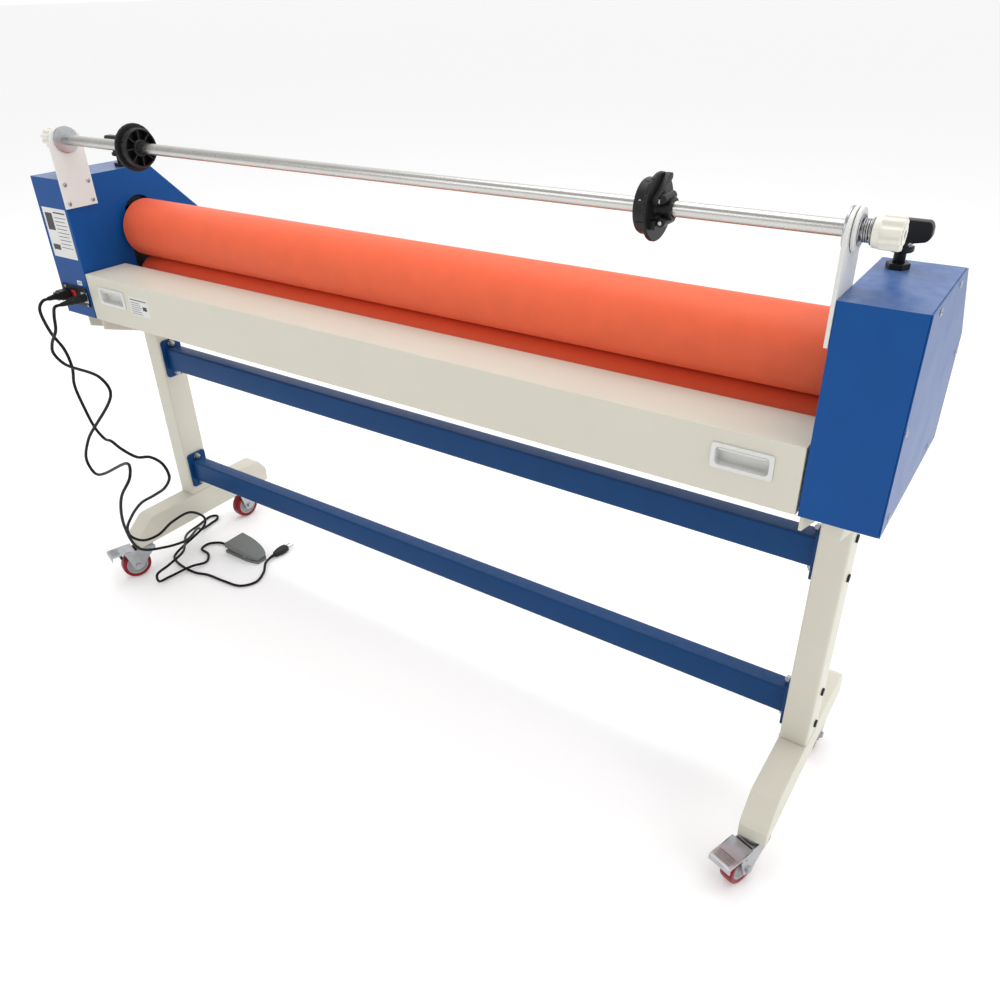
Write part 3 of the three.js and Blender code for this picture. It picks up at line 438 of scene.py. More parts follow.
def smooth_route(points, per_span=10):
    """Points on the centripetal Catmull-Rom curve through a route."""
    route = [Vector(p) for p in points]
    route = [2 * route[0] - route[1], *route, 2 * route[-1] - route[-2]]
    out = []
    for a, b, c, d in zip(route, route[1:], route[2:], route[3:]):
        ab, bc, cd = (math.sqrt((q - p).length) for p, q in ((a, b), (b, c), (c, d)))
        leave = ((b - a) / ab - (c - a) / (ab + bc) + (c - b) / bc) * bc
        arrive = ((c - b) / bc - (d - b) / (bc + cd) + (d - c) / cd) * bc
        for i in range(per_span):
            t = i / per_span
            out.append(b * (2 * t**3 - 3 * t**2 + 1) + leave * (t**3 - 2 * t**2 + t)
                       + c * (3 * t**2 - 2 * t**3) + arrive * (t**3 - t**2))
    out.append(Vector(points[-1]))
    return out


def cord_curve(name, route, stands_for):
    line = smooth_route(route)
    data = bpy.data.curves.new(name, "CURVE")
    data.dimensions = "3D"
    data.bevel_depth = CORD_RADIUS * MM
    data.bevel_resolution = 4
    data.use_fill_caps = True
    spline = data.splines.new("POLY")
    spline.points.add(len(line) - 1)
    for point, place in zip(spline.points, line):
        point.co = (*(place * MM), 1)
    spline.use_smooth = True
    data.materials.append(finish["black_cord"])
    obj = bpy.data.objects.new(name, data)
    bpy.context.scene.collection.objects.link(obj)
    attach(obj, "root")
    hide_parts(stands_for)
    length = sum((q - p).length for p, q in zip(line, line[1:])) * MM
    return obj, length


mains_cord, mains_length = cord_curve("mains_lead", MAINS_ROUTE, "mains_cord")
pedal_cord, pedal_length = cord_curve("foot_switch_lead", PEDAL_ROUTE, "pedal_cord")


def ribbed_tail(axis_x, axis_z, near, far, wide, narrow, ribs=6):
    """A tapered strain relief along Y with soft rings moulded round it."""
    profile = [(0, near)]
    length = (far - near) / ribs
    for i in range(ribs):
        radius = wide + (narrow - wide) * i / ribs
        start = near + i * length
        profile += [(radius, start), (radius, start + 0.6 * length), (radius - 0.9, start + 0.65 * length),
                    (radius - 0.9, start + 0.95 * length)]
    profile += [(narrow, far), (0, far)]
    return lathe(profile, "Y", (axis_x, axis_z), 32)


def mains_plug():
    low, high = corners("mains_plug")
    half = [(5.5, 60), (8.6, 67), (12.2, 80), (13, 90), (12, 99), (9, 107.5)]
    outline = mirrored(half, PLUG_X)
    body = prism(outline, "Z", low[2], high[2])
    plug = piece("plug_body", [body], "black_plastic", "root", 2.2, ["mains_plug"])
    tail = piece("plug_tail", [ribbed_tail(PLUG_X, PLUG_Z, 62, 48.2, 5, 4.1)], "black_plastic", "root", 0.0)
    shapes = []
    for side in (-1, 1):
        place = (PLUG_X + side * 7.4, PLUG_Z)
        shapes.append(drum("Y", place, 2.4, 106, 116, 0.2, 24))
        shapes.append(lathe([(0, 115), (2, 115), (2, 124.5), (1.2, 126), (0, 126)], "Y", place, 24))
    pins = piece("plug_pins", shapes, "polished_steel", "root", 0.0)
    return plug, tail, pins


def mains_connector():
    x = corners("mains_connector")[0][0] + 14
    axis = (x, SOCKET_Z)
    body = [
        prism(rounded(axis, (12.3, 8.3), 2), "Y", PANEL_Y - 4, PANEL_Y + 14),
        prism(rounded(axis, (14, 10.5), 4), "Y", PANEL_Y - 22, PANEL_Y - 1),
        prism(rounded(axis, (11.5, 9), 5), "Y", PANEL_Y - 30, PANEL_Y - 20),
    ]
    shell = piece("mains_connector_body", body, "black_plastic", "root", 0.9, ["mains_connector"])
    tail = piece("mains_connector_tail", [ribbed_tail(x, SOCKET_Z, PANEL_Y - 28, PANEL_Y - 50, 7.4, 4.6, 7)],
                 "black_plastic", "root", 0.0)
    return shell, tail


def pedal_connector():
    low, high = corners("pedal_connector")
    axis = ((low[0] + high[0]) / 2, SOCKET_Z)
    ribs = [drum("Y", axis, 9.5, PANEL_Y - 12 - 3.2 * i, PANEL_Y - 10 - 3.2 * i, 0.4, 40) for i in range(6)]
    body = [
        drum("Y", axis, 7.4, PANEL_Y - 3, PANEL_Y + 12, 0.3, 32),
        drum("Y", axis, 9.4, PANEL_Y - 8, PANEL_Y - 1, 0.8, 40),
        drum("Y", axis, 8.9, PANEL_Y - 38, PANEL_Y - 5, 1.2, 40),
    ]
    shell = piece("pedal_connector_body", body + ribs, "black_plastic", "root", 0.0, ["pedal_connector"])
    tail = piece("pedal_connector_tail", [ribbed_tail(*axis, PANEL_Y - 37, PANEL_Y - 60, 7.2, 4.4, 7)],
                 "black_plastic", "root", 0.0)
    return shell, tail


plug_pieces = mains_plug()
mains_ends = mains_connector()
pedal_ends = pedal_connector()


# ------------------------------------------------------------------ fasteners
def pan_head(axis, centre, base, out, radius=4.5, height=2.0):
    """A domed screw head that stands from base towards out, which is -1 or 1."""
    top = base + height * out
    profile = [(0, base), (radius, base), (radius, base + 0.3 * height * out),
               (0.82 * radius, base + 0.75 * height * out), (0.45 * radius, top), (0, top)]
    return lathe(profile, axis, centre, 28)


def cross_slot(axis, centre, base, out, radius=4.5, height=2.0):
    """The cutters of a cross recess in a pan head."""
    arm, width = 0.62 * radius, 0.16 * radius
    low, high = base + 0.35 * height * out, base + 2 * height * out
    u, v = centre
    return [prism([(u - a, v - b), (u + a, v - b), (u + a, v + b), (u - a, v + b)], axis, low, high)
            for a, b in ((arm, width), (width, arm))]


def screw_piece(name, axis, places, base, out, body, radius=4.5, height=2.0, slot="zinc_plate"):
    heads = [pan_head(axis, place, base, out, radius, height) for place in places]
    slots = [shape for place in places for shape in cross_slot(axis, place, base, out, radius, height)]
    return piece(name, heads, slot, body, 0.0, cutters=[slots])


def hexagon(axis, centre, across, low, high, turn=0.0):
    return prism(regular(centre, across / math.sqrt(3), 6, turn), axis, low, high)


# ------------------------------------------------------------------ end boxes
BOX_OUTLINE = [
    (FRONT_Y, BOX_BASE_Z), (REAR_Y, BOX_BASE_Z), (REAR_Y, BOX_CHAMFER_Z), (BOX_CHAMFER_Y, BOX_TOP_Z),
    (FRONT_Y, BOX_TOP_Z),
]
COVER_SCREWS = ((56, 1011), (185, 1011), (12, 867), (337, 867), (40, 728), (287, 728))


def end_box(side, end):
    keep(f"housing_{end}", "blue_paint", 1.1)
    face = side * (COVER_HIGH[0] - 2)
    sheet = prism(BOX_OUTLINE, "X", side * COVER_LOW[0], face)
    piece(f"cover_sheet_{end}", [sheet], "blue_paint", "root", 0.7, [f"side_cover_{end}"])
    places = [(FRONT_Y + y, z) for y, z in COVER_SCREWS]
    screw_piece(f"cover_screws_{end}", "X", places, face, side, "root")
    washers = [drum("X", place, 5.6, face, face + side * 0.5, 0.15, 32) for place in places]
    piece(f"cover_washers_{end}", washers, "zinc_plate", "root", 0.0)
    # The bearing plate and roller block inside the box are drawn near-black: painted shade.
    keep(f"bearing_plate_{end}", "plain_steel", 0.6, shadowed_steel)
    keep(f"roller_block_{end}", "cast_aluminium", 0.6, shadowed_steel)


for side, end in SIDES:
    end_box(side, end)
for node in ("drive_gear", "motor_pinion"):
    keep(node, "plain_steel", 0.4)
keep("drive_motor", "cast_aluminium", 0.4)


# ------------------------------------------------------------------ rollers
def roller(name, z, radius, core, body, node):
    bore = core + 0.5
    edge = 1.6
    profile = [
        (bore, -ROLLER_HALF), (radius - edge, -ROLLER_HALF), (radius - 0.4, -ROLLER_HALF + 0.4),
        (radius, -ROLLER_HALF + edge), (radius, ROLLER_HALF - edge), (radius - 0.4, ROLLER_HALF - 0.4),
        (radius - edge, ROLLER_HALF), (bore, ROLLER_HALF),
    ]
    piece(name, [lathe(profile, "X", (ROLLER_Y, z), 160)], "orange_silicone", body, 0.0, [node])
    discs = [drum("X", (ROLLER_Y, z), core, side * (ROLLER_HALF - 9), side * (ROLLER_HALF - 1), 0.8, 72)
             for side, _ in SIDES]
    piece(f"{name}_discs", discs, "plain_steel", body, 0.0)


roller("upper_roller_cover", TOP_ROLLER_Z, TOP_ROLLER_RADIUS, TOP_CORE_RADIUS, "top_roller",
       "top_roller_sleeve")
roller("lower_roller_cover", BOTTOM_ROLLER_Z, BOTTOM_ROLLER_RADIUS, BOTTOM_CORE_RADIUS, "bottom_roller",
       "bottom_roller_sleeve")
for node in ("top_roller_shaft", "bottom_roller_shaft"):
    keep(node, "plain_steel", 0.6)


# ------------------------------------------------------------------ feed deck
def deck_pull(side, end):
    x = side * PULL_X
    flange = prism(rounded((x, PULL_Z), (46, 20), 4), "Y", FRONT_Y - 2.3, FRONT_Y - 0.3)
    cup = prism(rounded((x, PULL_Z), (41.5, 16), 5), "Y", FRONT_Y - 1, FRONT_Y + 16)
    recess = prism(rounded((x, PULL_Z), (39.5, 14), 6), "Y", FRONT_Y - 4, FRONT_Y + 14)
    piece(f"pull_frame_{end}", [flange], "white_paint", "deck", 0.5, [f"deck_pull_{end}"], cutters=[[recess]])
    piece(f"pull_cup_{end}", [cup], "white_paint", "deck", 0.5, cutters=[[recess]])
    lip = prism(rounded((x, PULL_Z + 11), (36, 1.6), 1.5), "Y", FRONT_Y - 0.5, FRONT_Y + 8)
    piece(f"pull_lip_{end}", [lip], "white_paint", "deck", 0.4)


def label(name, axis, centre, half, base, out, body, rows):
    """A blank plate with plain grey bars where the real one has its print."""
    plate = prism(rounded(centre, half, 1.2), axis, base, base + 0.35 * out)
    piece(name, [plate], "white_paint", body, 0.0)
    bars = []
    near, far = base + 0.3 * out, base + 0.45 * out
    for u0, u1, v, height in rows:
        low = (centre[0] + u0 * half[0], centre[1] + v * half[1])
        high = (centre[0] + u1 * half[0], low[1] + height)
        bars.append(prism([low, (high[0], low[1]), high, (low[0], high[1])], axis, near, far))
    piece(name + "_bars", bars, "black_plastic", body, 0.0, material=ink)


def deck_cheek(side, end):
    """The folded return that closes the end of the deck beside its end box."""
    outline = [(FRONT_Y + 2, 717), (FRONT_Y + 22, 717), (FRONT_Y + 22, 796), (FRONT_Y + 88, 796),
               (FRONT_Y + 104, 800), (FRONT_Y + 104, 818), (FRONT_Y + 2, 818)]
    piece(f"deck_cheek_{end}", [prism(outline, "X", side * 815.2, side * 816.8)], "cream_paint", "deck", 0.3)


keep("feed_deck", "cream_paint", 1.7)
for side, end in SIDES:
    deck_pull(side, end)
    deck_cheek(side, end)
label("deck_label", "Y", (-636, 772.5), (33, 20.5), FRONT_Y, -1, "deck",
      [(-0.86, 0.86, 0.66, 2.2), *[(-0.86, 0.1 + 0.08 * (i % 3), 0.36 - 0.24 * i, 1.1) for i in range(6)],
       (0.36, 0.80, -0.30, 9.0)])
label("box_label", "Y", (-874, 904), (45, 55), FRONT_Y, -1, "root",
      [(-0.85, -0.25, 0.10, 38.0), (-0.1, 0.88, 0.80, 3.0),
       *[(-0.1, 0.85 - 0.1 * (i % 2), 0.62 - 0.15 * i, 1.4) for i in range(9)], (-0.85, -0.25, -0.70, 12.0)])
label("socket_label", "Y", (-848.5, 795), (9, 5.5), FRONT_Y, -1, "root",
      [(-0.7, 0.7, 0.1, 1.2), (-0.7, 0.3, -0.5, 1.2)])


# ------------------------------------------------------------------ stand
SADDLE_REACH = (FRONT_Y + 15, FRONT_Y + 340)
SADDLE_WAIST = (FRONT_Y + 144, FRONT_Y + 211)
SADDLE_TOP_Z, SADDLE_KNEE_Z, SADDLE_BASE_Z = 711, 684, 640


def column(side, end):
    low, high = corners(f"column_{end}")
    base, top = low[2], high[2]
    centre = (side * POST_X, BOLT_Y - 0.5)
    post = rounded(centre, (25, 33.5), 5)
    piece(f"post_{end}", [prism(post, "Z", base, top - 4)], "cream_paint", "root", 0.0, [f"column_{end}"])
    near, far = SADDLE_REACH
    flange = [(near, SADDLE_TOP_Z), (near, SADDLE_KNEE_Z), (SADDLE_WAIST[0], SADDLE_BASE_Z),
              (SADDLE_WAIST[1], SADDLE_BASE_Z), (far, SADDLE_KNEE_Z), (far, SADDLE_TOP_Z)]
    plates = [prism(flange, "X", side * x, side * (x + 5)) for x in (SADDLE_INNER_X, SADDLE_OUTER_X - 5)]
    piece(f"saddle_flanges_{end}", plates, "cream_paint", "root", 1.0)
    left, right = sorted((side * SADDLE_INNER_X, side * SADDLE_OUTER_X))
    cap = slab((left, near, SADDLE_TOP_Z), (right, far, top))
    piece(f"saddle_top_{end}", [cap], "cream_paint", "root", 0.8)
    # The weld is a bead of uneven thickness round the post's foot.
    bead = rounded(centre, (24.6, 33), 5, 9)
    ring = [(u, v, base + 0.9) for u, v in bead]
    path = []
    for p, q in zip(ring, ring[1:] + ring[:1]):
        steps = max(1, int(math.dist(p, q) / 3))
        path += [tuple(a + (b - a) * i / steps for a, b in zip(p, q)) for i in range(steps)]
    path.append(path[0])
    sizes = [1.5 + 0.25 * math.sin(2.1 * i) + 0.15 * math.sin(5.3 * i) for i in range(len(path))]
    piece(f"post_weld_{end}", [tube(path, sizes, 8)], "cream_paint", "root", 0.0, material=weld_metal)
    keep(f"foot_{end}", "cream_paint", 2.2)


def stretcher(name, z):
    end = SADDLE_INNER_X
    tube_outline = rounded((FRONT_Y + 178.5, z), (17.5, 29), 4.5)
    # The tube wears the darker blue: painted shade under the deck.
    piece(f"stretcher_tube_{name}", [prism(tube_outline, "X", -end, end)], "blue_paint", "root", 0.0,
          [f"stretcher_{name}"], shaded_rail_paint)
    flanges, nuts, heads, bolts, washers = [], [], [], [], []
    for side, _ in SIDES:
        flanges.append(prism(rounded((BOLT_Y, z), (28, 49), 8), "X", side * (end - 0.5), side * 824.7))
        for rise in (-38.5, 38.5):
            axis = (BOLT_Y, z + rise)
            washers.append(drum("X", axis, 8.4, side * (end - 2), side * (end - 0.4), 0.3, 32))
            nuts.append(hexagon("X", axis, 13, side * (end - 8), side * (end - 2)))
            bolts.append(drum("X", axis, 3.9, side * (end - 10.5), side * (end - 1), 0.6, 24))
            heads.append(prism(rounded(axis, (5.4, 5.4), 1.0), "X", side * 874.8, side * 879))
    # The flanges wear the darker blue too: painted shade.
    piece(f"stretcher_flanges_{name}", flanges, "blue_paint", "root", 0.9, material=shaded_rail_paint)
    piece(f"stretcher_nuts_{name}", nuts + bolts, "zinc_plate", "root", 0.5)
    piece(f"stretcher_washers_{name}", washers, "zinc_plate", "root", 0.0)
    piece(f"stretcher_heads_{name}", heads, "black_plastic", "root", 1.0)


for side, end in SIDES:
    column(side, end)
for name, z in STRETCHERS:
    stretcher(name, z)


# ------------------------------------------------------------------ casters
# A caster is drawn with its swivel axis on the origin and its wheel trailing towards -Y.
AXLE = (-35, 37.5)
PEDAL_PIN = (-50, 77)
FORK_LEG = [
    (20, 83), (-52, 83), (-58, 78), (-57, 70), (-46, 30), (-42, 26), (-28, 25), (-22, 29), (-4, 52), (20, 74),
]


def caster_fork(name, body, node, place):
    legs = [prism(FORK_LEG, "X", side * 16, side * 19) for side in (-1, 1)]
    plate = prism(rounded((0, -4), (19, 22), 5), "Z", 79.5, 82.6)
    piece(f"{name}_fork", legs + [plate], "zinc_plate", body, 0.9, [node], place=place)
    races = [
        lathe([(0, 82), (20, 82), (20.5, 83.5), (19, 86), (10, 87), (0, 87)], "Z", (0, 0), 56),
        lathe([(0, 87), (16, 87.2), (19.6, 88.2), (19.6, 90.2), (18.5, 91.7), (0, 91.7)], "Z", (0, 0), 56),
        drum("Z", (0, 0), 5.5, 90, 110, 0.6, 32),
    ]
    piece(f"{name}_race", races, "zinc_plate", body, 0.0, place=place)
    nuts = []
    for side in (-1, 1):
        nuts.append(hexagon("X", AXLE, 12.6, side * 19.6, side * 23.6, 15))
        nuts.append(drum("X", AXLE, 3.8, side * 19, side * 24, 0.5, 24))
        nuts.append(drum("X", AXLE, 7.4, side * 18.8, side * 19.7, 0.2, 32))
    piece(f"{name}_axle", nuts, "zinc_plate", body, 0.4, place=place)


def caster_wheel(name, body, node, place):
    tread = [(27.5, -11), (29, -12.6), (33.5, -13), (36, -12), (37.1, -9), (37.5, -4), (37.5, 4), (37.1, 9),
             (36, 12), (33.5, 13), (29, 12.6), (27.5, 11)]
    piece(f"{name}_tread", [lathe(tread, "X", AXLE, 72)], "red_tread", body, 0.0, [node], place=place)
    half_hub = [(28, 11.4), (24.5, 10.4), (22, 7.6), (14, 7.6), (11.6, 9), (11.2, 13.6), (10.6, 14.3),
                (4.5, 14.3)]
    hub = [(r, -w) for r, w in reversed(half_hub)] + half_hub
    piece(f"{name}_hub", [lathe(hub, "X", AXLE, 56)], "grey_plastic", body, 0.0, material=hub_plastic,
          place=place)
    seals = [drum("X", AXLE, 9.6, side * 14.2, side * 14.8, 0.3, 40, 4.6) for side in (-1, 1)]
    piece(f"{name}_seals", seals, "plain_steel", body, 0.0, place=place)


def brake_pedal(name, body, node, place):
    cheek = [(-44, 88), (-60, 88), (-62, 84), (-58, 72), (-52, 71), (-46, 74), (-43, 84)]
    half = 22.5
    plate = prism([(-96, 86.2), (-92, 88), (-34, 88), (-34, 85), (-91, 85), (-94, 83.5)], "X", -half, half)
    lip = prism([(-96, 86.5), (-93.2, 86.5), (-93.2, 75.4), (-94.6, 75), (-96, 75.6)], "X", -half, half)
    cheeks = [prism(cheek, "X", side * 19.9, side * half) for side in (-1, 1)]
    piece(f"{name}_plate", [plate, lip, *cheeks], "zinc_plate", body, 0.7, [node], place=place)
    grips = [prism(rounded((0, -88 + 5 * i), (17, 1.1), 1), "Z", 87.4, 88.0) for i in range(4)]
    pad = slab((-9, -72, 66), (9, -66, 86))
    pin = drum("X", PEDAL_PIN, 2.8, -23.6, 23.6, 0.4, 24)
    piece(f"{name}_grips", grips, "zinc_plate", body, 0.3, place=place)
    piece(f"{name}_pad", [pad], "black_plastic", body, 0.8, place=place)
    piece(f"{name}_pin", [pin], "plain_steel", body, 0.0, place=place)


CASTERS = (("front", FRONT_Y - 17, -18), ("rear", FRONT_Y + 359, 0))
for side, end in SIDES:
    for row, y, turn in CASTERS:
        trail = Matrix.Rotation(math.radians(turn), 4, "Z")
        place = Matrix.Translation((side * POST_X * MM, y * MM, 0)) @ trail
        name = f"caster_{row}_{end}"
        caster_fork(name, name, f"caster_fork_{row}_{end}", place)
        caster_wheel(f"wheel_{row}_{end}", f"wheel_{row}_{end}", f"caster_wheel_{row}_{end}", place)
        if row == "front":
            brake_pedal(f"brake_{end}", f"brake_{end}", f"brake_pedal_{end}", place)


# ------------------------------------------------------------------ unwind shaft
def unwind_bracket(side, end):
    bottom, arc, steps = 962, 1089, 32
    outline = [(ROD_Y - BRACKET_HALF, bottom), (ROD_Y + BRACKET_HALF, bottom)]
    angles = [math.pi * i / steps for i in range(steps + 1)]
    outline += [(ROD_Y + BRACKET_HALF * math.cos(a), arc + BRACKET_HALF * math.sin(a)) for a in angles]
    plate = prism(outline, "X", side * BRACKET_INNER_X, side * BRACKET_OUTER_X)
    hole = drum("X", ROD_AXIS, 11.2, side * 811, side * 822, 0.1, 40)
    piece(f"bracket_plate_{end}", [plate], "white_paint", "root", 0.8, [f"unwind_bracket_{end}"],
          cutters=[[hole]])
    places = [(ROD_Y + y, z) for y in (-28, 28) for z in (972.5, 1012.5)]
    screw_piece(f"bracket_screws_{end}", "X", places, side * BRACKET_INNER_X, -side, "root", 4.8, 2.1)


def rod():
    bar = drum("X", ROD_AXIS, ROD_RADIUS, -ROD_HALF, ROD_HALF, 0.8, 64)
    piece("unwind_bar", [bar], "polished_steel", "unwind_shaft", 0.0, ["unwind_rod"])
    for side, end in SIDES:
        disc = [(ROD_RADIUS - 1, side * 809.5), (24, side * 809.5), (26.6, side * 810.2), (27, side * 811.2),
                (27, side * 813.2), (26.4, side * 813.7), (ROD_RADIUS - 1, side * 813.7)]
        piece(f"inner_disc_{end}", [lathe(disc, "X", ROD_AXIS, 72)], "zinc_plate", "unwind_shaft", 0.0,
              [f"rod_collar_{end}"])
        stud = drum("X", ROD_AXIS, 4.9, side * 845, side * 868, 0.6, 32)
        piece(f"rod_stud_{end}", [stud], "plain_steel", "unwind_shaft", 0.0)


def friction_stack(side, end):
    disc = [(11.2, side * 820.8), (26.4, side * 820.8), (27, side * 821.5), (27, side * 824.2),
            (26, side * 825.5), (11.2, side * 825.5)]
    piece(f"outer_disc_{end}", [lathe(disc, "X", ROD_AXIS, 72)], "white_paint", "root", 0.0,
          [f"friction_disc_{end}"])
    washers = [drum("X", ROD_AXIS, r, side * x, side * (x + 1.1), 0.3, 48, 11)
               for r, x in ((19, 825.9), (16.5, 838.6))]
    piece(f"spring_washers_{end}", washers, "zinc_plate", "unwind_shaft", 0.0)
    turns, wire, start, stop = 3.5, 1.1, 828.2, 837.4
    count = int(turns * 28)
    path = []
    for i in range(count + 1):
        angle = 2 * math.pi * turns * i / count
        x = side * (start + (stop - start) * i / count)
        path.append((x, ROD_Y + 13.2 * math.cos(angle), ROD_Z + 13.2 * math.sin(angle)))
    piece(f"tension_spring_{end}", [tube(path, wire, 10)], "plain_steel", "unwind_shaft", 0.0)


# One rib of the hand nut and the dip after it: its share of a rib's turn, and the radius there.
RIB_SHAPE = ((-0.30, 17.6), (-0.22, 19.9), (-0.08, 20.5), (0.08, 20.5), (0.22, 19.9), (0.30, 17.6),
             (0.40, 17.1), (0.5, 17.0), (0.60, 17.1))


def tension_knob(side, end):
    ribs = 9
    outline = []
    for i in range(ribs):
        middle = 2 * math.pi * i / ribs
        for share, radius in RIB_SHAPE:
            angle = middle + share * 2 * math.pi / ribs
            outline.append((ROD_Y + radius * math.cos(angle), ROD_Z + radius * math.sin(angle)))
    grip = prism(outline, "X", side * 849.5, side * 874)
    collar = drum("X", ROD_AXIS, 19, side * 841, side * 850.5, 1.2, 56, 11.2)
    near, far = side * 872, side * 875
    face = lathe([(5.6, near), (12, near), (13, far), (5.6, far)], "X", ROD_AXIS, 48)
    bore = drum("X", ROD_AXIS, 5.6, side * 846, side * 876, 0.1, 32)
    body = f"tension_knob_{end}"
    piece(f"knob_grip_{end}", [grip], "ivory_plastic", body, 1.2, [f"tension_knob_{end}"], cutters=[[bore]])
    piece(f"knob_collar_{end}", [collar], "ivory_plastic", body, 0.0)
    piece(f"knob_face_{end}", [face], "ivory_plastic", body, 0.0)


def spokes(near, far, half, count, turn, low, high):
    """Flat bars that stand out from the rod, evenly round it. Turn is a share of one step."""
    bars = []
    for i in range(count):
        angle = 2 * math.pi * (i + turn) / count
        c, s = math.cos(angle), math.sin(angle)
        flat = ((near, -half), (far, -half), (far, half), (near, half))
        bars.append(prism([(ROD_Y + u * c - v * s, ROD_Z + u * s + v * c) for u, v in flat], "X", low, high))
    return bars


def core_chuck(side, end, flange):
    """A flange with a spigot for the film roll's core towards the middle and a clamp hub behind it."""
    body = f"chuck_{end}"
    hub_end, ring = flange + 28, flange - 17

    def at(*places):
        return [side * x for x in places]

    f0, f1, r0 = at(flange, flange + 6, ring)
    disc = [(CHUCK_BORE, f0), (43.6, f0), (45, f0 + side * 1.2), (45, f1 - side * 1.2), (43.6, f1),
            (CHUCK_BORE, f1)]
    notches = [prism(regular(centre, 1.9, 12), "X", *at(flange - 1, flange + 7))
               for centre in regular(ROD_AXIS, 46, 24)]
    piece(f"chuck_flange_{end}", [lathe(disc, "X", ROD_AXIS, 96)], "black_plastic", body, 0.4,
          [f"core_chuck_{end}"], cutters=[notches])
    spigot = [(33, f0), (37, f0), (37, r0 + side * 3), (35.6, r0 + side * 0.4), (34.6, r0),
              (33, r0 + side * 0.6)]
    boss = [(CHUCK_BORE, f0), (16, f0), (16, r0 + side * 1.4), (14.6, r0), (CHUCK_BORE, r0)]
    hub = [(CHUCK_BORE, f1), (17.5, f1), (15.5, side * (flange + 10)), (15.5, side * (hub_end - 2)),
           (14, side * hub_end), (CHUCK_BORE, side * hub_end)]
    rings = [lathe(p, "X", ROD_AXIS, 72) for p in (boss, hub)]
    piece(f"chuck_rings_{end}", rings, "black_plastic", body, 0.0)
    slits = spokes(31, 40, 0.9, 8, 0.5, *at(ring + 6, flange - 0.5))
    piece(f"chuck_spigot_{end}", [lathe(spigot, "X", ROD_AXIS, 96)], "black_plastic", body, 0.0,
          cutters=[slits])
    ribs = spokes(15, 34, 1.3, 8, 0, *at(ring + 2, flange + 1))
    piece(f"chuck_ribs_{end}", ribs, "black_plastic", body, 0.4)
    clamp_x = side * (flange + 19)
    bosses = [drum("Y", (clamp_x, ROD_Z + rise), 6.2, ROD_Y - 24, ROD_Y + 12, 0.9, 32) for rise in (-15, 15)]
    near, far = sorted(at(flange + 5, flange + 14))
    stop = slab((near, ROD_Y - 30, ROD_Z - 24), (far, ROD_Y - 17, ROD_Z - 12))
    piece(f"chuck_clamp_{end}", [*bosses, stop], "black_plastic", body, 0.8)
    screw = drum("Y", (clamp_x, ROD_Z - 15), 2.7, ROD_Y - 26.5, ROD_Y - 20, 0.5, 24)
    piece(f"chuck_screw_{end}", [screw], "zinc_plate", body, 0.0)
    pin = drum("X", LEVER_PIVOT, 3.3, *at(flange + 5.5, flange + 17.5), 0.5, 28)
    piece(f"chuck_pivot_{end}", [pin], "plain_steel", body, 0.0)


# The clamp lever's outline about its pivot, at rest.
LEVER_SHAPE = (
    (-5.5, 4.5), (-7, 0), (-5, -4.6), (0, -5.6), (4.6, -4.2), (9, 0.5), (20, 9), (40, 22), (42, 25), (41, 30),
    (37, 31), (32, 29), (10, 12), (1, 7),
)


def chuck_lever(side, end, flange):
    y, z = LEVER_PIVOT
    arm = prism([(y + u, z + v) for u, v in LEVER_SHAPE], "X", side * (flange + 6.5), side * (flange + 15))
    hole = drum("X", LEVER_PIVOT, 3.6, side * (flange + 5), side * (flange + 16), 0.1, 28)
    piece(f"lever_{end}", [arm], "black_plastic", f"chuck_lever_{end}", 1.3, [f"chuck_lever_{end}"],
          cutters=[[hole]])


rod()
for side, end in SIDES:
    unwind_bracket(side, end)
    friction_stack(side, end)
    tension_knob(side, end)
    core_chuck(side, end, CHUCK_FLANGE_X[end])
    chuck_lever(side, end, CHUCK_FLANGE_X[end])


# ------------------------------------------------------------------ pressure knobs
def pressure_set(side, end):
    axis = (side * KNOB_X, ROLLER_Y)
    base = [prism(regular(axis, 16, 6, 0), "Z", BOX_TOP_Z + 0.3, BOX_TOP_Z + 8)]
    piece(f"bush_nut_{end}", base, "black_plastic", "root", 1.0, [f"pressure_bush_{end}"],
          cutters=[[drum("Z", axis, 8.1, BOX_TOP_Z - 5, BOX_TOP_Z + 12, 0.1, 32)]])
    body = f"pressure_knob_{end}"
    x = axis[0]
    turned = [
        lathe([(0, 1060), (12, 1060), (12.5, 1054), (16, 1052.4), (16, 1047.4), (14.8, 1046), (9, 1045.4),
               (7.8, 1044), (7.8, 1033.5), (7, 1032), (0, 1032)], "Z", axis, 56),
        drum("Z", axis, 5.9, 921, 1034, 0.5, 32),
    ]
    piece(f"pressure_stem_{end}", turned, "black_plastic", body, 0.0, [body])
    half = [(9, 1053), (13, 1058), (28, 1061), (33, 1065), (34.5, 1071), (34.3, 1080), (32, 1086),
            (28, 1088)]
    handle = prism(mirrored(half, x), "Y", ROLLER_Y - 8.5, ROLLER_Y + 8.5)
    piece(f"pressure_bar_{end}", [handle], "black_plastic", body, 2.6)
    screw_piece(f"pressure_screw_{end}", "Y", [(x + 11, 1056)], ROLLER_Y - 8.3, -1, body, 3.2, 1.4)


for side, end in SIDES:
    pressure_set(side, end)


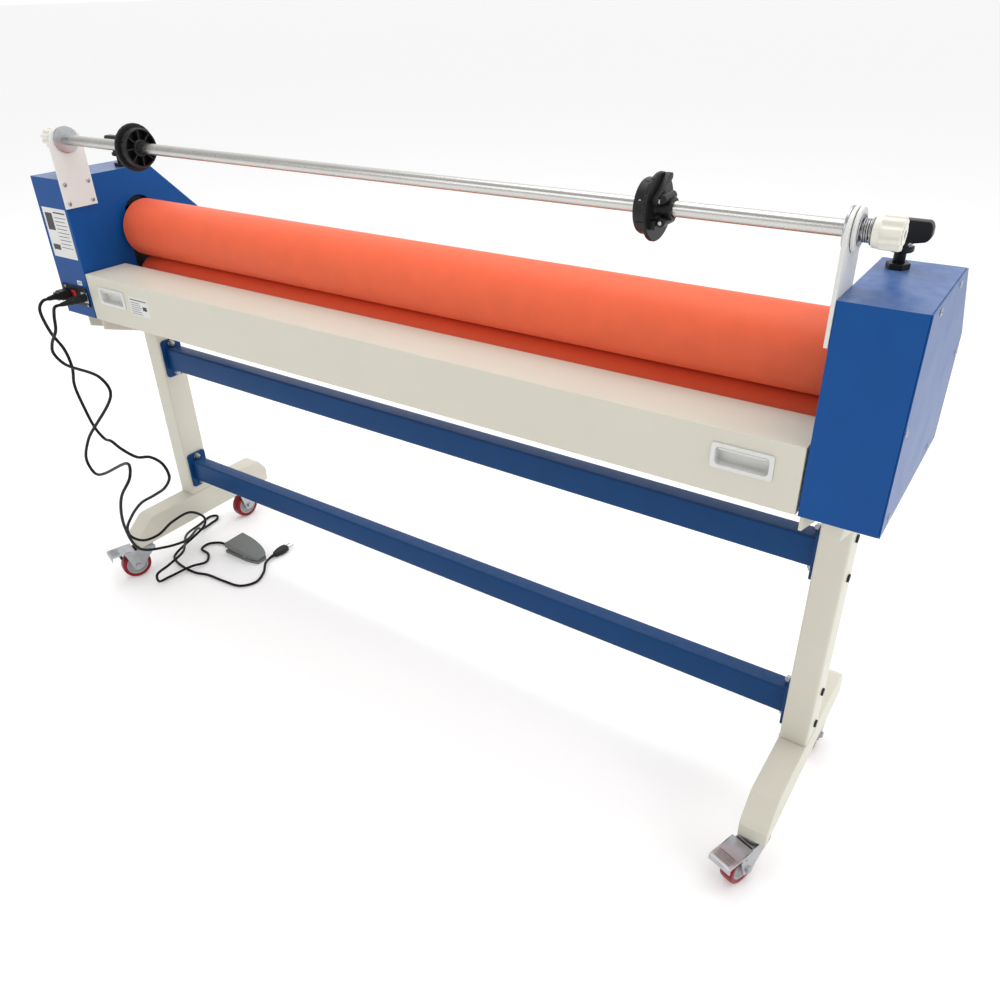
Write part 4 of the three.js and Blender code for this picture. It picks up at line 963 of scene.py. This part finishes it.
# ------------------------------------------------------------------ sockets
def socket_panel():
    keep("socket_panel", "black_plastic", 0.7)
    face = corners("socket_panel")[0][1]
    places = [(-906, SOCKET_Z + 18), (-832, SOCKET_Z - 18)]
    screw_piece("panel_screws", "Y", places, face + 0.2, -1, "root", 3.4, 1.2)
    keep("rocker_switch", "red_plastic", 0.8)
    collar = [prism(rounded((-838, SOCKET_Z), (12, 12), 2), "Y", PANEL_Y - 1.2, PANEL_Y + 0.2)]
    piece("pedal_socket_flange", collar, "zinc_plate", "root", 0.3,
          cutters=[[drum("Y", (-838, SOCKET_Z), 7.9, PANEL_Y - 3, PANEL_Y + 2, 0.1, 32)]])


socket_panel()


# ------------------------------------------------------------------ foot switch
def foot_switch():
    low, high = corners("pedal_treadle")
    x0, x1 = low[0], high[0] - 1
    y0, y1 = low[1], high[1]
    base_x = corners("pedal_base")[0][0]
    # The plan narrows towards the toe, and its rear side is curved.
    rear = [(x0 + 38, 0), (x0 + 62, 2.5), (x0 + 84, 7), (x0 + 102, 13), (x0 + 116, 20), (x1 + 3, 30),
            (x1 + 3, -6), (x0 + 38, -6)]
    rear_cut = prism([(x, y1 - y) for x, y in rear], "Z", -5, 60)
    front = [(x1 - 40, 0), (x1 - 20, 3.5), (x1 + 3, 10), (x1 + 3, -6), (x1 - 40, -6)]
    front_cut = prism([(x, y0 + y) for x, y in front], "Z", -5, 60)
    cuts = [[rear_cut], [front_cut]]
    top = [(x0, 18), (x0 + 0.6, 31), (x0 + 3, 34), (x0 + 7, 34.8), (x0 + 40, 31.2), (x1 - 22, 23),
           (x1 - 6, 20), (x1, 17), (x1, 10.8), (x1 - 24, 11.8)]
    cap = prism(top, "Y", y0 + 0.2, y1 - 0.2)
    piece("treadle_cap", [cap], "grey_plastic", "treadle", 1.8, ["pedal_treadle"], cutters=cuts)
    plate = prism([(x0, y0), (x1, y0), (x1, y1), (x0, y1)], "Z", 0, 8.6)
    wall = prism([(x0 + 2, 8), (x0 + 2, 11), (x1 - 28, 11), (x1 - 24, 8)], "Y", y0 + 1, y1 - 1)
    gland = lathe([(0, x0 + 2), (5.4, x0 + 2), (5.4, base_x + 5), (4.4, base_x + 0.4), (0, base_x + 0.4)],
                  "X", (26, 5.6), 32)
    piece("pedal_tray", [plate, wall], "grey_plastic", "root", 1.2, ["pedal_base"], cutters=cuts)
    piece("pedal_gland", [gland], "black_plastic", "root", 0.0)
    screw_piece("treadle_screw", "Y", [(x1 - 44, 15)], y0 + 0.2, -1, "treadle", 2.6, 1.0)
    places = ((x0 + 12, y0 + 10), (x0 + 12, y1 - 10), (x1 - 18, y0 + 16))
    feet = [drum("Z", place, 6, 0, 0.8, 0.2, 24) for place in places]
    piece("base_feet", feet, "black_plastic", "root", 0.0)


foot_switch()


# ------------------------------------------------------------------ floor and light
def stage():
    """A wide pale floor just below the wheels. It glows a little, so that it stays pale far away."""
    plane = bpy.data.meshes.new("floor")
    reach = 300
    edge = [(-reach, -reach, 0), (reach, -reach, 0), (reach, reach, 0), (-reach, reach, 0)]
    plane.from_pydata(edge, [], [(0, 1, 2, 3)])
    floor = bpy.data.objects.new("floor", plane)
    floor.location.z = -0.0005
    bpy.context.scene.collection.objects.link(floor)
    paper = surface("floor", (0.93, 0.93, 0.93), 0.9, 0.0, (2, 0.01), (50, 0.01))
    glow = paper.node_tree.nodes["Principled BSDF"].inputs
    glow["Emission Color"].default_value = (1, 1, 1, 1)
    glow["Emission Strength"].default_value = 0.14
    floor.data.materials.append(paper)


def area_light(name, place, aim, size, power):
    data = bpy.data.lights.new(name, "AREA")
    data.shape = "RECTANGLE"
    data.size, data.size_y = size
    data.energy = power
    light = bpy.data.objects.new(name, data)
    light.location = place
    light.rotation_euler = (Vector(aim) - Vector(place)).to_track_quat("-Z", "Y").to_euler()
    bpy.context.scene.collection.objects.link(light)


def lights():
    """A white surround that is darker on the machine's front side, and three soft lamps."""
    world = bpy.data.worlds.new("studio")
    bpy.context.scene.world = world
    world.use_nodes = True
    tree = world.node_tree
    tree.nodes["Background"].inputs["Color"].default_value = (1, 1, 1, 1)
    coords = tree.nodes.new("ShaderNodeTexCoord")
    split = tree.nodes.new("ShaderNodeSeparateXYZ")
    fade = tree.nodes.new("ShaderNodeMapRange")
    fade.inputs["From Min"].default_value = -0.9
    fade.inputs["From Max"].default_value = 0.4
    fade.inputs["To Min"].default_value = 0.36
    fade.inputs["To Max"].default_value = 1.10
    tree.links.new(coords.outputs["Generated"], split.inputs["Vector"])
    tree.links.new(split.outputs["Y"], fade.inputs["Value"])
    tree.links.new(fade.outputs["Result"], tree.nodes["Background"].inputs["Strength"])
    area_light("overhead", (0.2, 0.4, 4.2), (0, 0, 0.8), (4.5, 2.5), 75)
    area_light("front", (-1.6, -3.8, 2.6), (0, 0, 0.7), (3.0, 2.0), 32)
    area_light("right", (4.0, -0.8, 2.2), (0.6, 0, 0.8), (2.0, 2.0), 24)


stage()
lights()
bpy.context.scene.view_settings.view_transform = "Standard"
